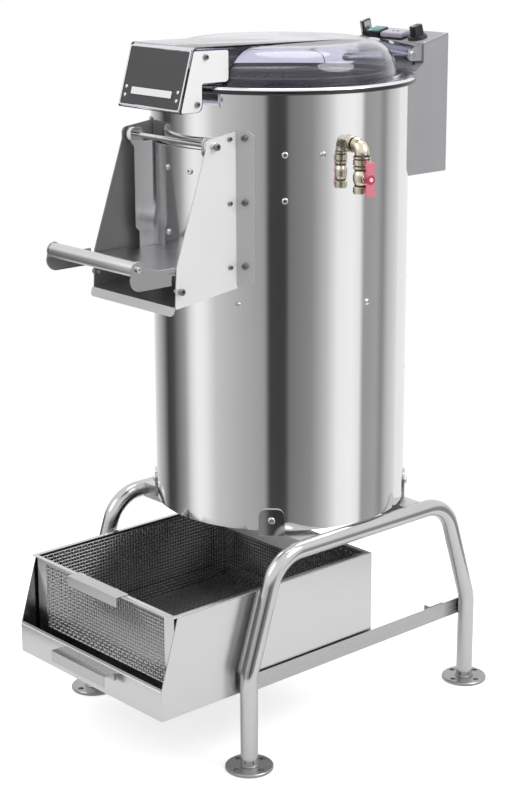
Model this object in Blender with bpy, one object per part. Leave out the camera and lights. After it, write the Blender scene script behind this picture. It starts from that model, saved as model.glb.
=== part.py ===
"""Potato peeling machine: a steel drum on a tube stand, with a discharge chute and door,
a clear hinged lid, a control box behind, a water valve at the side and a waste tray below.

Metres, +Z up, machine front towards -Y. The drum's axis is the machine's own Z axis, and one
empty carries the whole machine so that the world's origin is under the middle of its box.
"""
import math

import bmesh
import bpy
from mathutils import Matrix, Vector

# Fits, cuts and facets
GAP = 0.0003                    # between two faces that touch
PIVOT_GAP = 0.0006              # around a pin or shaft that something turns on
OVERRUN = 0.020                 # how far a cutter runs past what it cuts
SHEET = 0.002                   # plate of the chute, the rim and the door
DRUM_STEPS = 48
ROOM_STEPS = 180
WHEEL_STEPS = 28
ROUND_STEPS = 16
SMALL_STEPS = 8
FILLET_STEPS = 4
CURL_STEPS = 2
ROUND_SHARE = 0.5
SHARP_ANGLE = math.radians(32)
X_AXIS, Y_AXIS, Z_AXIS = "XYZ"

# Drive below the chamber
SHAFT_R = 0.0105
SHAFT_SOCKET = 0.008
HOUSING_PLATE_R = 0.055
HOUSING_PLATE_T = 0.010
HOUSING_R = 0.032
HOUSING_LENGTH = 0.120
BEARING_R = 0.021
BEARING_H = 0.014
BEARING_LAND = 0.004
BEARING_DIP = 0.00175
PULLEY_H = 0.018
PULLEY_DROP = 0.030
PULLEY_R = 0.080
PULLEY_RIM_T = 0.012
PULLEY_WEB_T = 0.006
PULLEY_HUB_R = 0.026
MOTOR_PULLEY_R = 0.023
GROOVE_DEPTH = 0.009
GROOVE_TOP_W = 0.011
GROOVE_FOOT_W = 0.006
BELT_LIFT = 0.001
BELT_SLACK = 0.0006
MOTOR_Y = 0.118
MOTOR_SHAFT_R = 0.007
MOTOR_BODY_R = 0.058
MOTOR_FIN = 0.006
MOTOR_FINS = 12
MOTOR_BODY_H = 0.105
MOTOR_BELL_H = 0.024
MOTOR_BELL_R = 0.056
MOTOR_SHAFT_SINK = 0.008
FIN_START_SHARE = 0.25
FIN_MIDDLE_SHARE = 0.5
FIN_END_SHARE = 0.75
MOTOR_PLATE_R = 0.066
MOTOR_PLATE_T = 0.008
MOTOR_BOX_W = 0.060
MOTOR_BOX_H = 0.050
MOTOR_BOX_REACH = 0.024
MOUNT_T = 0.005
MOUNT_HALF_W = 0.068
MOUNT_POST_R = 0.008
MOUNT_POST_INSET = 0.012
BASE_RISE = 0.002
BASE_T = 0.003
DRAIN_R = 0.030
DRAIN_CLEAR = 0.020
DRAIN_X = -PULLEY_R - DRAIN_R - DRAIN_CLEAR
DRAIN_Y = -0.050
DRAIN_WALL = 0.002
DRAIN_BELOW = 0.018

# Drum
DRUM_R = 0.225
DRUM_WALL = 0.002
DRUM_FOOT_Z = 0.3844
MOTOR_STAND_H = 0.0395           # from the base plate's top to the motor plate's top
MOTOR_H = MOTOR_PLATE_T + MOTOR_BODY_H + 2 * MOTOR_BELL_H
DRIVE_H = MOTOR_H + 2 * PULLEY_H + PULLEY_DROP + HOUSING_LENGTH + GAP
FLOOR_RISE = BASE_RISE + BASE_T + MOTOR_STAND_H + DRIVE_H
CHAMBER_DEPTH = 0.3647
DRUM_HEIGHT = FLOOR_RISE + CHAMBER_DEPTH
DRUM_TOP_Z = DRUM_FOOT_Z + DRUM_HEIGHT
DRUM_BORE_R = DRUM_R - DRUM_WALL

# Rolled top rim
RIM_OVERHANG = 0.0112
RIM_INWARD = 0.0215
RIM_R = DRUM_R + RIM_OVERHANG
RIM_INNER_R = DRUM_R - RIM_INWARD
RIM_LIP = 0.011
RIM_DROP = 0.0165
RIM_CURL = 0.005
RIM_UNDER_Z = DRUM_TOP_Z + GAP
RIM_TOP_Z = RIM_UNDER_Z + SHEET

# Stand: two bent tube frames on round flanges
TUBE_R = 0.015
TUBE_SIDES_EXTRA = 4
LEG_INSET = 0.0044
LEG_AHEAD = 0.0473
LEG_X = DRUM_R - LEG_INSET
LEG_Y = DRUM_R + LEG_AHEAD
KNEE_Z = 0.168
KNEE_BEND_R = 0.080
TOP_BEND_R = 0.070
LEAN = math.radians(18)
FLANGE_R = 0.0415
FLANGE_T = 0.006
FLANGE_HOLE_R = 0.0045
FLANGE_HOLE_PITCH_R = 0.030
FLANGE_HOLES = 4

# Cross members that tie the frames and carry the drum
CROSS_T = 0.003
TAB_AZIMUTH = math.radians(44)
CROSS_INWARD = 0.0439
CROSS_OUTWARD = 0.0221
CROSS_NEAR_Y = DRUM_R * math.cos(TAB_AZIMUTH) - CROSS_INWARD
CROSS_FAR_Y = DRUM_R * math.cos(TAB_AZIMUTH) + CROSS_OUTWARD
CROSS_DEPTH = 0.025
CROSS_TOP_Z = DRUM_FOOT_Z - GAP
TAB_WIDTH = 0.045
TAB_HEIGHT = 0.043
TAB_CORNER = 0.014
TUBE_Z = CROSS_TOP_Z - CROSS_T - GAP - TUBE_R

# Tray rails
RAIL_T = 0.0025
RAIL_HEIGHT = 0.030
RAIL_LEDGE = 0.025
RAIL_REACH = LEG_Y - GAP
TRAY_Z = 0.1315
RAIL_OUTER_X = LEG_X - TUBE_R - GAP
RAIL_STOP_Y = 0.193
RAIL_STOP_LENGTH = 0.036
RAIL_STOP_HEIGHT = 0.028
RAIL_STOP_FOLD = 0.015

# Catch tray
TRAY_CLEAR = 0.0035
TRAY_HALF_W = RAIL_OUTER_X - RAIL_T - TRAY_CLEAR
TRAY_WALL = 0.0015
TRAY_FRONT_Y = -0.444
TRAY_SIDE_FRONT_Y = -0.4074
TRAY_BACK_Y = 0.041
TRAY_LIP = 0.053
TRAY_DEPTH = 0.1735
TRAY_TOP_Z = TRAY_Z + TRAY_DEPTH
HANDLE_T = 0.002
TRAY_HANDLE_HALF_W = 0.075
TRAY_HANDLE_REACH = 0.024
TRAY_HANDLE_DROP = 0.020
TRAY_HANDLE_BELOW_LIP = 0.006
TRAY_HANDLE_TAB = 0.014

# Pulp basket that hangs in the tray
BASKET_WALL = 0.0015
BASKET_CLEAR = 0.006
BASKET_FLOOR_RISE = 0.020
BASKET_FRONT_Y = -0.4095
BASKET_BACK_Y = 0.030
BASKET_RIM_REACH = 0.0065
BASKET_POST = 0.026
BASKET_TOP_BAND = 0.008
BASKET_FOOT_BAND = 0.028
MESH_T = 0.001
BASKET_HANDLE_HALF_W = 0.069
BASKET_HANDLE_REACH = 0.024
BASKET_HANDLE_DROP = 0.018

# Peeling chamber
FLOOR_T = 0.004
FLOOR_FLANGE = 0.015
LINER_T = 0.006
LINER_SHORT = 0.004
DISC_CLEAR = 0.0137
DISC_R = DRUM_BORE_R - GAP - LINER_T - DISC_CLEAR
DISC_RISE = 0.026
DISC_T = 0.012
DISC_WAVE = 0.009
DISC_WAVES = 3
DISC_RINGS = 4
DISC_STEPS = 36
DISC_HUB_R = 0.032
DISC_HUB_DROP = 0.015
DISC_NUT_R = 0.016
DISC_NUT_H = 0.006
FLOOR_UNDER_Z = DRUM_FOOT_Z + FLOOR_RISE
FLOOR_TOP_Z = FLOOR_UNDER_Z + FLOOR_T
DISC_UNDER_Z = FLOOR_TOP_Z + DISC_RISE

# Service opening and cover at the back of the drum
SERVICE_HALF_ANGLE = math.radians(34)
SERVICE_BELOW_FLOOR = 0.1558
SERVICE_RISE = FLOOR_RISE - SERVICE_BELOW_FLOOR
SERVICE_HEIGHT = 0.150
COVER_LAP = 0.018
COVER_T = 0.0015
COVER_STEPS = 16

# Discharge opening and chute
OPENING_HALF_W = 0.080
OPENING_ABOVE_FLOOR = 0.0682
OPENING_RISE = FLOOR_RISE + OPENING_ABOVE_FLOOR
OPENING_HEIGHT = 0.176
OPENING_CORNER = 0.012
CHUTE_HALF_W = 0.1087
CHUTE_TOP_ABOVE_SILL = 0.2316
CHUTE_TOP_RISE = OPENING_RISE + CHUTE_TOP_ABOVE_SILL
CHUTE_BACK_BELOW_SILL = 0.0300
CHUTE_BACK_RISE = OPENING_RISE - CHUTE_BACK_BELOW_SILL
CHUTE_REACH = 0.1050
CHUTE_FRONT_Y = -DRUM_R - CHUTE_REACH
CHUTE_FRONT_BELOW_SILL = 0.0515
CHUTE_FRONT_RISE = OPENING_RISE - CHUTE_FRONT_BELOW_SILL
CHUTE_STEP_ABOVE_SILL = 0.0166
CHUTE_STEP_RISE = OPENING_RISE + CHUTE_STEP_ABOVE_SILL
CHUTE_STEP_BACK = 0.0035
CHUTE_STEP_Y = CHUTE_FRONT_Y + CHUTE_STEP_BACK
CHUTE_LIP_DROP = 0.015
CHUTE_LIP_FORWARD = 0.005
CHUTE_LIP_WING = 0.0025
CHUTE_FLANGE_ARC = math.radians(8.6)
CHUTE_FLANGE_CHAMFER = 0.010
CHUTE_FLANGE_STEPS = 4
CHUTE_PLATE_FOOT = 0.0020
ROD_AHEAD = 0.0190
ROD_Y = -DRUM_R - ROD_AHEAD
ROD_ABOVE_SILL = 0.2062
ROD_RISE = OPENING_RISE + ROD_ABOVE_SILL
ROD_R = 0.0045
ROD_EYE_R = 0.0185
ROD_EYE_BELOW = 0.0062
ROD_EYE_ABOVE = 0.0123
ROD_EYE_CORNER_R = 0.0092
CHUTE_NOSE_R = 0.0031
ROD_HEAD_R = 0.0075
ROD_HEAD_T = 0.004
CATCH_PIN_INSET = 0.0095
CATCH_PIN_Y = CHUTE_FRONT_Y + CATCH_PIN_INSET
CATCH_PIN_BELOW_SILL = 0.0224
CATCH_PIN_RISE = OPENING_RISE - CATCH_PIN_BELOW_SILL
CATCH_PIN_R = 0.004
CATCH_PIN_REACH = 0.009
CATCH_HEAD_R = 0.007
CATCH_HEAD_T = 0.003

# Discharge door hung on the rod
SEAL_T = 0.003
SEAL_BAND = 0.009
DOOR_HALF_W = 0.094
DOOR_FOOT_BELOW_SILL = 0.0120
DOOR_FOOT_RISE = OPENING_RISE - DOOR_FOOT_BELOW_SILL
DOOR_TOP_BELOW_ROD = 0.0130
DOOR_CHAMFER = 0.013
DOOR_FLANGE_AHEAD = 0.0410
DOOR_FLANGE_Y = -DRUM_R - DOOR_FLANGE_AHEAD
DOOR_FLANGE_NARROW_Y = DOOR_FLANGE_Y + DOOR_CHAMFER
DOOR_CHAMFER_ABOVE_SILL = 0.0390
DOOR_CHAMFER_RISE = OPENING_RISE + DOOR_CHAMFER_ABOVE_SILL
DOOR_EYE_R = 0.0125
DOOR_STEPS = 14
BUSH_R = 0.0120
BUSH_DOME = 0.003

# Door handle: shelf, two arms and a round grip
SHELF_ABOVE_SILL = 0.0120
SHELF_RISE = OPENING_RISE + SHELF_ABOVE_SILL
SHELF_GAP = 0.0020
SHELF_NECK_Y = CHUTE_FRONT_Y - SHELF_GAP
SHELF_TONGUE = 0.0140
SHELF_FRONT_Y = SHELF_NECK_Y - SHELF_TONGUE
SHELF_HALF_W = 0.1035
SHELF_REAR_HALF_W = 0.0910
SHELF_LIP = 0.012
ARM_X = 0.1118
ARM_T = 0.0022
ARM_BACK_DROP = 0.028
ARM_BACK_LEAN = 0.010
ARM_BELLY_AHEAD = 0.0700
ARM_BELLY_Y = SHELF_NECK_Y - ARM_BELLY_AHEAD
ARM_BELLY_DROP = 0.023
ARM_NECK_AHEAD = 0.0540
ARM_NECK_Y = SHELF_NECK_Y - ARM_NECK_AHEAD
GRIP_AHEAD = 0.0765
GRIP_Y = SHELF_NECK_Y - GRIP_AHEAD
GRIP_ABOVE_SILL = 0.0262
GRIP_RISE = OPENING_RISE + GRIP_ABOVE_SILL
GRIP_R = 0.0125
ARM_EYE_R = 0.0138
ARM_EYE_START = math.radians(235)
ARM_EYE_END = math.radians(50)

# Lid: clear dome with a straight ridge from the nose to the hinge
LID_WALL = 0.004
LID_RISE = GAP
LID_HEIGHT = 0.0600
LID_INSET = 0.0220
LID_R = DRUM_R - LID_INSET
LID_SHOULDER = 0.0550
LID_FLAT_R = LID_R - LID_SHOULDER
LID_SKIRT = 0.008
LID_SHOULDER_STEPS = 5
LID_STEPS = 44
LID_FOOT_LAP = 0.0080
LID_FOOT_R = LID_R + LID_FOOT_LAP
LID_FOOT_T = 0.004
RIDGE_HALF_W = 0.081
RIDGE_TOP_DROP = 0.0012
NOSE_AHEAD = 0.0350
NOSE_TOP_Y = -DRUM_R - NOSE_AHEAD
NOSE_LEAN = 0.0290
NOSE_FOOT_Y = NOSE_TOP_Y - NOSE_LEAN
NOSE_DROP = 0.0340
NOSE_CHEEK_AHEAD = 0.0180
NOSE_CHEEK_Y = -DRUM_R - NOSE_CHEEK_AHEAD
RIDGE_SLOPE_BACK = 0.0750
RIDGE_SLOPE_Y = DRUM_R - RIDGE_SLOPE_BACK
RIDGE_BACK_DROP = 0.0220
RIDGE_TAIL = 0.0300
RIDGE_BACK_Y = DRUM_R + RIDGE_TAIL
RIDGE_BACK_CHAMFER = 0.008
RIDGE_FOOT_LIFT = 0.0045

# Cover on the nose
COVER_FRAME_T = 0.003
COVER_FRAME_BORDER = 0.0075
COVER_FRAME_RETURN = 0.014
COVER_PANEL_T = 0.002
LABEL_HALF_W = 0.051
LABEL_H = 0.010
LABEL_T = 0.001
LABEL_RISE = 0.018

# Lid hinge
HINGE_BEHIND = 0.0180
HINGE_Y = DRUM_R + HINGE_BEHIND
HINGE_RISE = 0.0230
HINGE_PIN_R = 0.004
HINGE_EAR_T = 0.003
HINGE_EAR_R = 0.011
HINGE_PIN_HEAD_R = 0.0065
HINGE_PIN_HEAD_T = 0.0025
HINGE_WEB_FOOT = 0.006
HINGE_WEB_H = 0.030
HINGE_SIDE_GAP = 0.0008

# Control box behind the drum
BOX_HALF_W = 0.088
BOX_WALL = 0.0015
BOX_DROP = 0.1932
BOX_BEHIND = 0.1090
BOX_BACK_Y = DRUM_R + BOX_BEHIND
BOX_FACE_BEHIND = 0.0450
BOX_FACE_Y = DRUM_R + BOX_FACE_BEHIND
BOX_NOTCH_STEP = 0.0210
BOX_NOTCH_Y = BOX_FACE_Y - BOX_NOTCH_STEP
BOX_NOTCH_DROP = 0.0067
BOX_NOTCH_RISE = 0.0080
BOX_FACE_RISE = 0.0400
BOX_BACK_RISE = 0.0555
BOX_FRONT_WALL = 0.0035
PANEL_T = 0.002

# Controls on the sloping panel
SELECTOR_X = -0.0765
SELECTOR_BASE_R = 0.0095
SELECTOR_BASE_H = 0.007
SELECTOR_LEVER_HALF_W = 0.0045
SELECTOR_LEVER_LENGTH = 0.024
SELECTOR_H = 0.028
START_X = -0.0480
START_HALF_W = 0.0150
BUTTON_H = 0.013
BUTTON_HALF_L = 0.0150
BUTTON_STEM_R = 0.0050
BUTTON_TRAVEL = 0.003
STOP_X = -0.001
STOP_HALF_W = 0.0265
STOP_H = 0.011
TIMER_X = 0.0520
TIMER_R = 0.0180
TIMER_SKIRT_H = 0.006
TIMER_H = 0.024
TIMER_GRIP_R = 0.0130
TIMER_GRIP_HALF_W = 0.0087
CONTROL_SETBACK = 0.022
BEVEL_SMALL = 0.0012

# Water inlet: brass elbow and ball valve with a butterfly handle
INLET_AZIMUTH = math.radians(78.5)
INLET_BELOW_TOP = 0.0919
INLET_RISE = DRUM_HEIGHT - INLET_BELOW_TOP
INLET_REACH = 0.0370
INLET_COLUMN_R = DRUM_R + INLET_REACH
NIPPLE_R = 0.0105
NIPPLE_REACH = 0.010
COLLAR_R = 0.0150
COLLAR_H = 0.009
ELBOW_R = 0.0139
ELBOW_DROP = 0.026
VALVE_LENGTH = 0.052
VALVE_RING_H = 0.0087
VALVE_TAPER = 0.0022
VALVE_NECK_H = 0.0043
VALVE_SHOULDER = 0.0043
VALVE_WAIST_R = 0.0120
VALVE_BALL_R = 0.0150
VALVE_BORE_R = 0.0065
VALVE_BORE_DEPTH = 0.015
BOSS_R = 0.0075
BOSS_REACH = 0.0195
VALVE_HUB_R = 0.0085
VALVE_HUB_H = 0.009
WING_SPAN = 0.029
WING_HALF_W = 0.0125
WING_WAIST_HALF_W = 0.0070
WING_T = 0.0045
WING_SETBACK = 0.003
HALVES = (-1, 1)
SIDES = (("right", 1), ("left", -1))


def clear_scene():
    """Empties the scene's objects before the model is built."""
    for old in list(bpy.data.objects):
        bpy.data.objects.remove(old, do_unlink=True)


def finish(name, colour, roughness, metallic, alpha=1):
    """One Principled BSDF material for one sub-part."""
    material = bpy.data.materials.new(name + "_finish")
    material.use_nodes = True
    shader = material.node_tree.nodes["Principled BSDF"]
    shader.inputs["Base Color"].default_value = (*colour, 1)
    shader.inputs["Roughness"].default_value = roughness
    shader.inputs["Metallic"].default_value = metallic
    shader.inputs["Alpha"].default_value = alpha
    material.diffuse_color = (*colour, alpha)
    return material


def polished_steel(name):
    """Bright rolled stainless sheet."""
    return finish(name, (0.74, 0.74, 0.76), 0.18, 1)


def satin_steel(name):
    """Brushed stainless tube and plate."""
    return finish(name, (0.62, 0.62, 0.63), 0.36, 1)


def painted_grey(name):
    """Grey sheet-metal housing."""
    return finish(name, (0.33, 0.33, 0.34), 0.5, 0)


def dark_grey(name):
    """Dark-grey cover plate."""
    return finish(name, (0.075, 0.075, 0.08), 0.45, 0)


def clear_lid(name):
    """Clear plastic with a faint violet tint."""
    return finish(name, (0.80, 0.80, 0.93), 0.05, 0, 0.35)


def black_plastic(name):
    """Black moulded plastic."""
    return finish(name, (0.02, 0.02, 0.022), 0.4, 0)


def teal_plastic(name):
    """Blue-green push button."""
    return finish(name, (0.05, 0.30, 0.28), 0.4, 0)


def pale_plastic(name):
    """Pale translucent button cap."""
    return finish(name, (0.55, 0.50, 0.58), 0.3, 0)


def white_plastic(name):
    """White nylon and the bare strip."""
    return finish(name, (0.85, 0.85, 0.85), 0.4, 0)


def red_paint(name):
    """Red coated valve handle."""
    return finish(name, (0.65, 0.03, 0.07), 0.4, 0)


def brass(name):
    """Pipe-fitting brass."""
    return finish(name, (0.62, 0.50, 0.28), 0.3, 1)


def cast_aluminium(name):
    """Cast aluminium."""
    return finish(name, (0.50, 0.51, 0.52), 0.5, 1)


def abrasive(name):
    """Grit-coated surface."""
    return finish(name, (0.16, 0.15, 0.14), 0.9, 0)


def black_rubber(name):
    """Rubber belt and seal."""
    return finish(name, (0.03, 0.03, 0.03), 0.8, 0)


def mesh_steel(name):
    """Steel wire mesh of the basket."""
    return finish(name, (0.45, 0.45, 0.46), 0.45, 1)


def ring_point(radius, angle, z=0):
    """A point at an azimuth counted from the machine's front (-Y) towards +X."""
    return Vector((radius * math.sin(angle), -radius * math.cos(angle), z))


def fillet(corners, radii, closed=True, steps=FILLET_STEPS):
    """Rounds a 2-D outline's corners; radii has one value per corner, 0 keeps it sharp."""
    count = len(corners)
    points = []
    for i, corner in enumerate(corners):
        here = Vector(corner)
        radius = radii[i]
        if radius == 0 or (not closed and i in (0, count - 1)):
            points.append(tuple(here))
            continue
        before = (Vector(corners[i - 1]) - here).normalized()
        after = (Vector(corners[(i + 1) % count]) - here).normalized()
        half = before.angle(after) / 2
        centre = here + (before + after).normalized() * (radius / math.sin(half))
        start = here + before * (radius / math.tan(half)) - centre
        sweep = start.angle_signed(here + after * (radius / math.tan(half)) - centre)
        for step in range(steps + 1):
            turn = -sweep * step / steps
            points.append((centre.x + start.x * math.cos(turn) - start.y * math.sin(turn),
                           centre.y + start.x * math.sin(turn) + start.y * math.cos(turn)))
    return points


def circle(radius, steps=ROUND_STEPS, centre=(0, 0)):
    """A round outline."""
    return [(centre[0] + radius * math.cos(math.tau * i / steps),
             centre[1] + radius * math.sin(math.tau * i / steps)) for i in range(steps)]


def lift(point, height, axis):
    """A 2-D outline point as a 3-D one: (y, z) across X, (x, z) across Y, (x, y) across Z."""
    if axis == X_AXIS:
        return Vector((height, point[0], point[1]))
    if axis == Y_AXIS:
        return Vector((point[0], height, point[1]))
    return Vector((point[0], point[1], height))


def prism(outline, low, high, axis=Z_AXIS):
    """A closed body: an outline swept from low to high along an axis."""
    body = bmesh.new()
    rings = [[body.verts.new(lift(point, height, axis)) for point in outline] for height in (low, high)]
    body.faces.new(rings[0])
    body.faces.new(reversed(rings[1]))
    for i in range(len(outline)):
        body.faces.new((rings[0][i - 1], rings[0][i], rings[1][i], rings[1][i - 1]))
    return tidy(body)


def block(low, high):
    """A rectangular body between two corners."""
    outline = [(low[0], low[1]), (high[0], low[1]), (high[0], high[1]), (low[0], high[1])]
    return prism(outline, low[2], high[2])


def rod(radius, low, high, centre, axis=X_AXIS, steps=ROUND_STEPS):
    """A round bar along an axis; centre is its 2-D place across that axis."""
    return prism(circle(radius, steps, centre), low, high, axis)


def revolve(profile, steps=ROUND_STEPS, centre=(0, 0)):
    """A body turned about a vertical axis from a closed (radius, z) profile."""
    body = bmesh.new()
    verts = [body.verts.new((centre[0] + r, centre[1], z)) for r, z in profile]
    edges = [body.edges.new((verts[i - 1], verts[i])) for i in range(len(verts))
             if not (profile[i - 1][0] == 0 and profile[i][0] == 0)]
    bmesh.ops.spin(body, geom=verts + edges, cent=(centre[0], centre[1], 0), axis=(0, 0, 1),
                   dvec=(0, 0, 0), angle=math.tau, steps=steps, use_merge=True)
    return tidy(body)


def arc_plate(inner, outer, mid_angle, half_angle, low, high, steps=DOOR_STEPS):
    """A plate curved round the drum's axis between two radii, centred on an azimuth."""
    angles = [mid_angle - half_angle + 2 * half_angle * i / steps for i in range(steps + 1)]
    outline = [ring_point(outer, angle).xy for angle in angles]
    outline += [ring_point(inner, angle).xy for angle in reversed(angles)]
    return prism([tuple(point) for point in outline], low, high)


def tidy(body):
    """Welds doubled points and faces every side outwards."""
    bmesh.ops.remove_doubles(body, verts=body.verts, dist=GAP / 100)
    bmesh.ops.recalc_face_normals(body, faces=body.faces)
    return body


def to_object(body, name):
    """A linked object that holds the body."""
    mesh = bpy.data.meshes.new(name)
    body.to_mesh(mesh)
    body.free()
    obj = bpy.data.objects.new(name, mesh)
    bpy.context.scene.collection.objects.link(obj)
    return obj


def from_object(obj):
    """The evaluated mesh of an object, which is then removed."""
    graph = bpy.context.evaluated_depsgraph_get()
    mesh = bpy.data.meshes.new_from_object(obj.evaluated_get(graph))
    body = bmesh.new()
    body.from_mesh(mesh)
    bpy.data.meshes.remove(mesh)
    bpy.data.objects.remove(obj, do_unlink=True)
    return tidy(body)


def combine(body, other, operation):
    """Joins, cuts or intersects two bodies with an exact Boolean."""
    target = to_object(body, "target")
    tool = to_object(other, "tool")
    modifier = target.modifiers.new("combine", "BOOLEAN")
    modifier.object = tool
    modifier.operation = operation
    modifier.solver = "EXACT"
    bpy.context.view_layer.update()
    combined = from_object(target)
    bpy.data.objects.remove(tool, do_unlink=True)
    return combined


def cut(body, *tools):
    """Cuts each tool out of the body."""
    for tool in tools:
        body = combine(body, tool, "DIFFERENCE")
    return body


def join(body, *others):
    """Joins bodies that overlap into one."""
    for other in others:
        body = combine(body, other, "UNION")
    return body


def moved(body, offset):
    """Shifts a body."""
    bmesh.ops.translate(body, verts=body.verts, vec=offset)
    return body


def turned(body, angle, axis=(0, 0, 1), centre=(0, 0, 0)):
    """Turns a body about an axis."""
    bmesh.ops.rotate(body, verts=body.verts, cent=centre,
                     matrix=Matrix.Rotation(angle, 3, Vector(axis)))
    return body


def rounded(body, width, segments=2):
    """Rounds a body's sharp edges."""
    edges = [edge for edge in body.edges if edge.calc_face_angle(0) > SHARP_ANGLE]
    bmesh.ops.bevel(body, geom=edges, offset=width, segments=segments, affect="EDGES",
                    profile=ROUND_SHARE, clamp_overlap=True)
    return tidy(body)


def mirrored(body):
    """The same body on the machine's other side."""
    bmesh.ops.scale(body, verts=body.verts, vec=(-1, 1, 1))
    return tidy(body)


def sided(body, side):
    """The body as drawn for the right side, mirrored when the side is the left."""
    return body if side > 0 else mirrored(body)


def place(body, name, material, origin=(0, 0, 0)):
    """Makes the sub-part's object, with its origin on its joint's axis."""
    obj = to_object(moved(body, -Vector(origin)), name)
    obj.location = origin
    obj.parent = machine
    mesh = obj.data
    mesh.materials.append(material)
    mesh.shade_smooth()
    mesh.set_sharp_from_angle(angle=SHARP_ANGLE)
    return obj


# Stand

def tube_along(points):
    """A round tube along a smooth row of points, with flat ends."""
    curve = bpy.data.curves.new("tube", "CURVE")
    curve.dimensions = "3D"
    curve.bevel_depth = TUBE_R
    curve.bevel_resolution = TUBE_SIDES_EXTRA
    curve.use_fill_caps = True
    spline = curve.splines.new("POLY")
    spline.points.add(len(points) - 1)
    for spot, point in zip(spline.points, points):
        spot.co = (*point, 1)
    obj = bpy.data.objects.new("tube", curve)
    bpy.context.scene.collection.objects.link(obj)
    bpy.context.view_layer.update()
    return from_object(obj)


def leg_frame(name, side):
    """An inverted U of bent tube: two upright feet, leaning legs and a level top."""
    top_y = LEG_Y - (TUBE_Z - KNEE_Z) * math.tan(LEAN)
    corners = [(-LEG_Y, FLANGE_T + GAP), (-LEG_Y, KNEE_Z), (-top_y, TUBE_Z),
               (top_y, TUBE_Z), (LEG_Y, KNEE_Z), (LEG_Y, FLANGE_T + GAP)]
    radii = [0, KNEE_BEND_R, TOP_BEND_R, TOP_BEND_R, KNEE_BEND_R, 0]
    path = fillet(corners, radii, closed=False)
    place(tube_along([(side * LEG_X, y, z) for y, z in path]), name, satin_steel(name))


def foot_flange(name, x, y):
    """A round floor flange with four fixing holes."""
    plate = prism(circle(FLANGE_R, WHEEL_STEPS, (x, y)), 0, FLANGE_T)
    for i in range(FLANGE_HOLES):
        angle = math.tau * (i + 0.5) / FLANGE_HOLES
        spot = (x + FLANGE_HOLE_PITCH_R * math.cos(angle), y + FLANGE_HOLE_PITCH_R * math.sin(angle))
        plate = cut(plate, prism(circle(FLANGE_HOLE_R, SMALL_STEPS, spot), -OVERRUN, OVERRUN))
    place(plate, name, satin_steel(name))


def cross_member(name, end):
    """A folded channel between the frames, with two curved tabs up the drum's wall."""
    tube_inner_x = LEG_X - TUBE_R - GAP
    under = CROSS_TOP_Z - CROSS_T
    body = block((-tube_inner_x, CROSS_NEAR_Y, under), (tube_inner_x, CROSS_FAR_Y, CROSS_TOP_Z))
    for y in (CROSS_NEAR_Y, CROSS_FAR_Y - CROSS_T):
        body = join(body, block((-tube_inner_x, y, CROSS_TOP_Z - CROSS_DEPTH),
                                (tube_inner_x, y + CROSS_T, CROSS_TOP_Z - CROSS_T / 2)))
    inner = DRUM_R + GAP
    half = TAB_WIDTH / 2
    for side in HALVES:
        plate = arc_plate(inner, inner + CROSS_T, math.pi - side * TAB_AZIMUTH, TAB_WIDTH / inner,
                          CROSS_TOP_Z - CROSS_T / 2, CROSS_TOP_Z + TAB_HEIGHT + OVERRUN, 10)
        outline = fillet([(-half, -OVERRUN), (half, -OVERRUN), (half, TAB_HEIGHT), (-half, TAB_HEIGHT)],
                         [0, 0, TAB_CORNER, TAB_CORNER])
        shape = prism([(x, z + CROSS_TOP_Z) for x, z in outline], -DRUM_R - OVERRUN,
                      -DRUM_R * math.cos(TAB_AZIMUTH), Y_AXIS)
        plate = combine(plate, turned(shape, math.pi - side * TAB_AZIMUTH), "INTERSECT")
        body = join(body, plate)
    place(turned(body, 0 if end > 0 else math.pi), name, satin_steel(name))


def rail(name, side):
    """An angle rail between the legs that the tray slides on."""
    foot = TRAY_Z - GAP - RAIL_T
    web_x = RAIL_OUTER_X - RAIL_T
    outline = [(web_x - RAIL_LEDGE, foot), (RAIL_OUTER_X, foot), (RAIL_OUTER_X, foot + RAIL_HEIGHT),
               (web_x, foot + RAIL_HEIGHT), (web_x, foot + RAIL_T), (web_x - RAIL_LEDGE, foot + RAIL_T)]
    body = prism(outline, -RAIL_REACH, RAIL_REACH, Y_AXIS)
    place(sided(body, side), name, satin_steel(name))


def rail_stop(name, side):
    """A folded plate on the rail's ledge, whose front leg stops the tray at the back."""
    high_x = RAIL_OUTER_X - RAIL_T - GAP
    low_x = high_x - RAIL_STOP_FOLD
    front, back = RAIL_STOP_Y, RAIL_STOP_Y + RAIL_STOP_LENGTH
    plan = [(low_x, front), (high_x, front), (high_x, back), (high_x - RAIL_T, back),
            (high_x - RAIL_T, front + RAIL_T), (low_x, front + RAIL_T)]
    body = prism(plan, TRAY_Z, TRAY_Z + RAIL_STOP_HEIGHT)
    place(sided(body, side), name, satin_steel(name))


# Catch tray and basket

def catch_tray(name):
    """A folded tub: low front lip, sides that rise from it, and a full-height back."""
    outer = [(TRAY_FRONT_Y, TRAY_Z), (TRAY_BACK_Y, TRAY_Z), (TRAY_BACK_Y, TRAY_TOP_Z),
             (TRAY_SIDE_FRONT_Y, TRAY_TOP_Z), (TRAY_FRONT_Y, TRAY_Z + TRAY_LIP)]
    body = prism(outer, -TRAY_HALF_W, TRAY_HALF_W, X_AXIS)
    inside = block((-TRAY_HALF_W + TRAY_WALL, TRAY_FRONT_Y + TRAY_WALL, TRAY_Z + TRAY_WALL),
                   (TRAY_HALF_W - TRAY_WALL, TRAY_BACK_Y - TRAY_WALL, TRAY_TOP_Z + OVERRUN))
    place(cut(body, inside), name, satin_steel(name))


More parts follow.
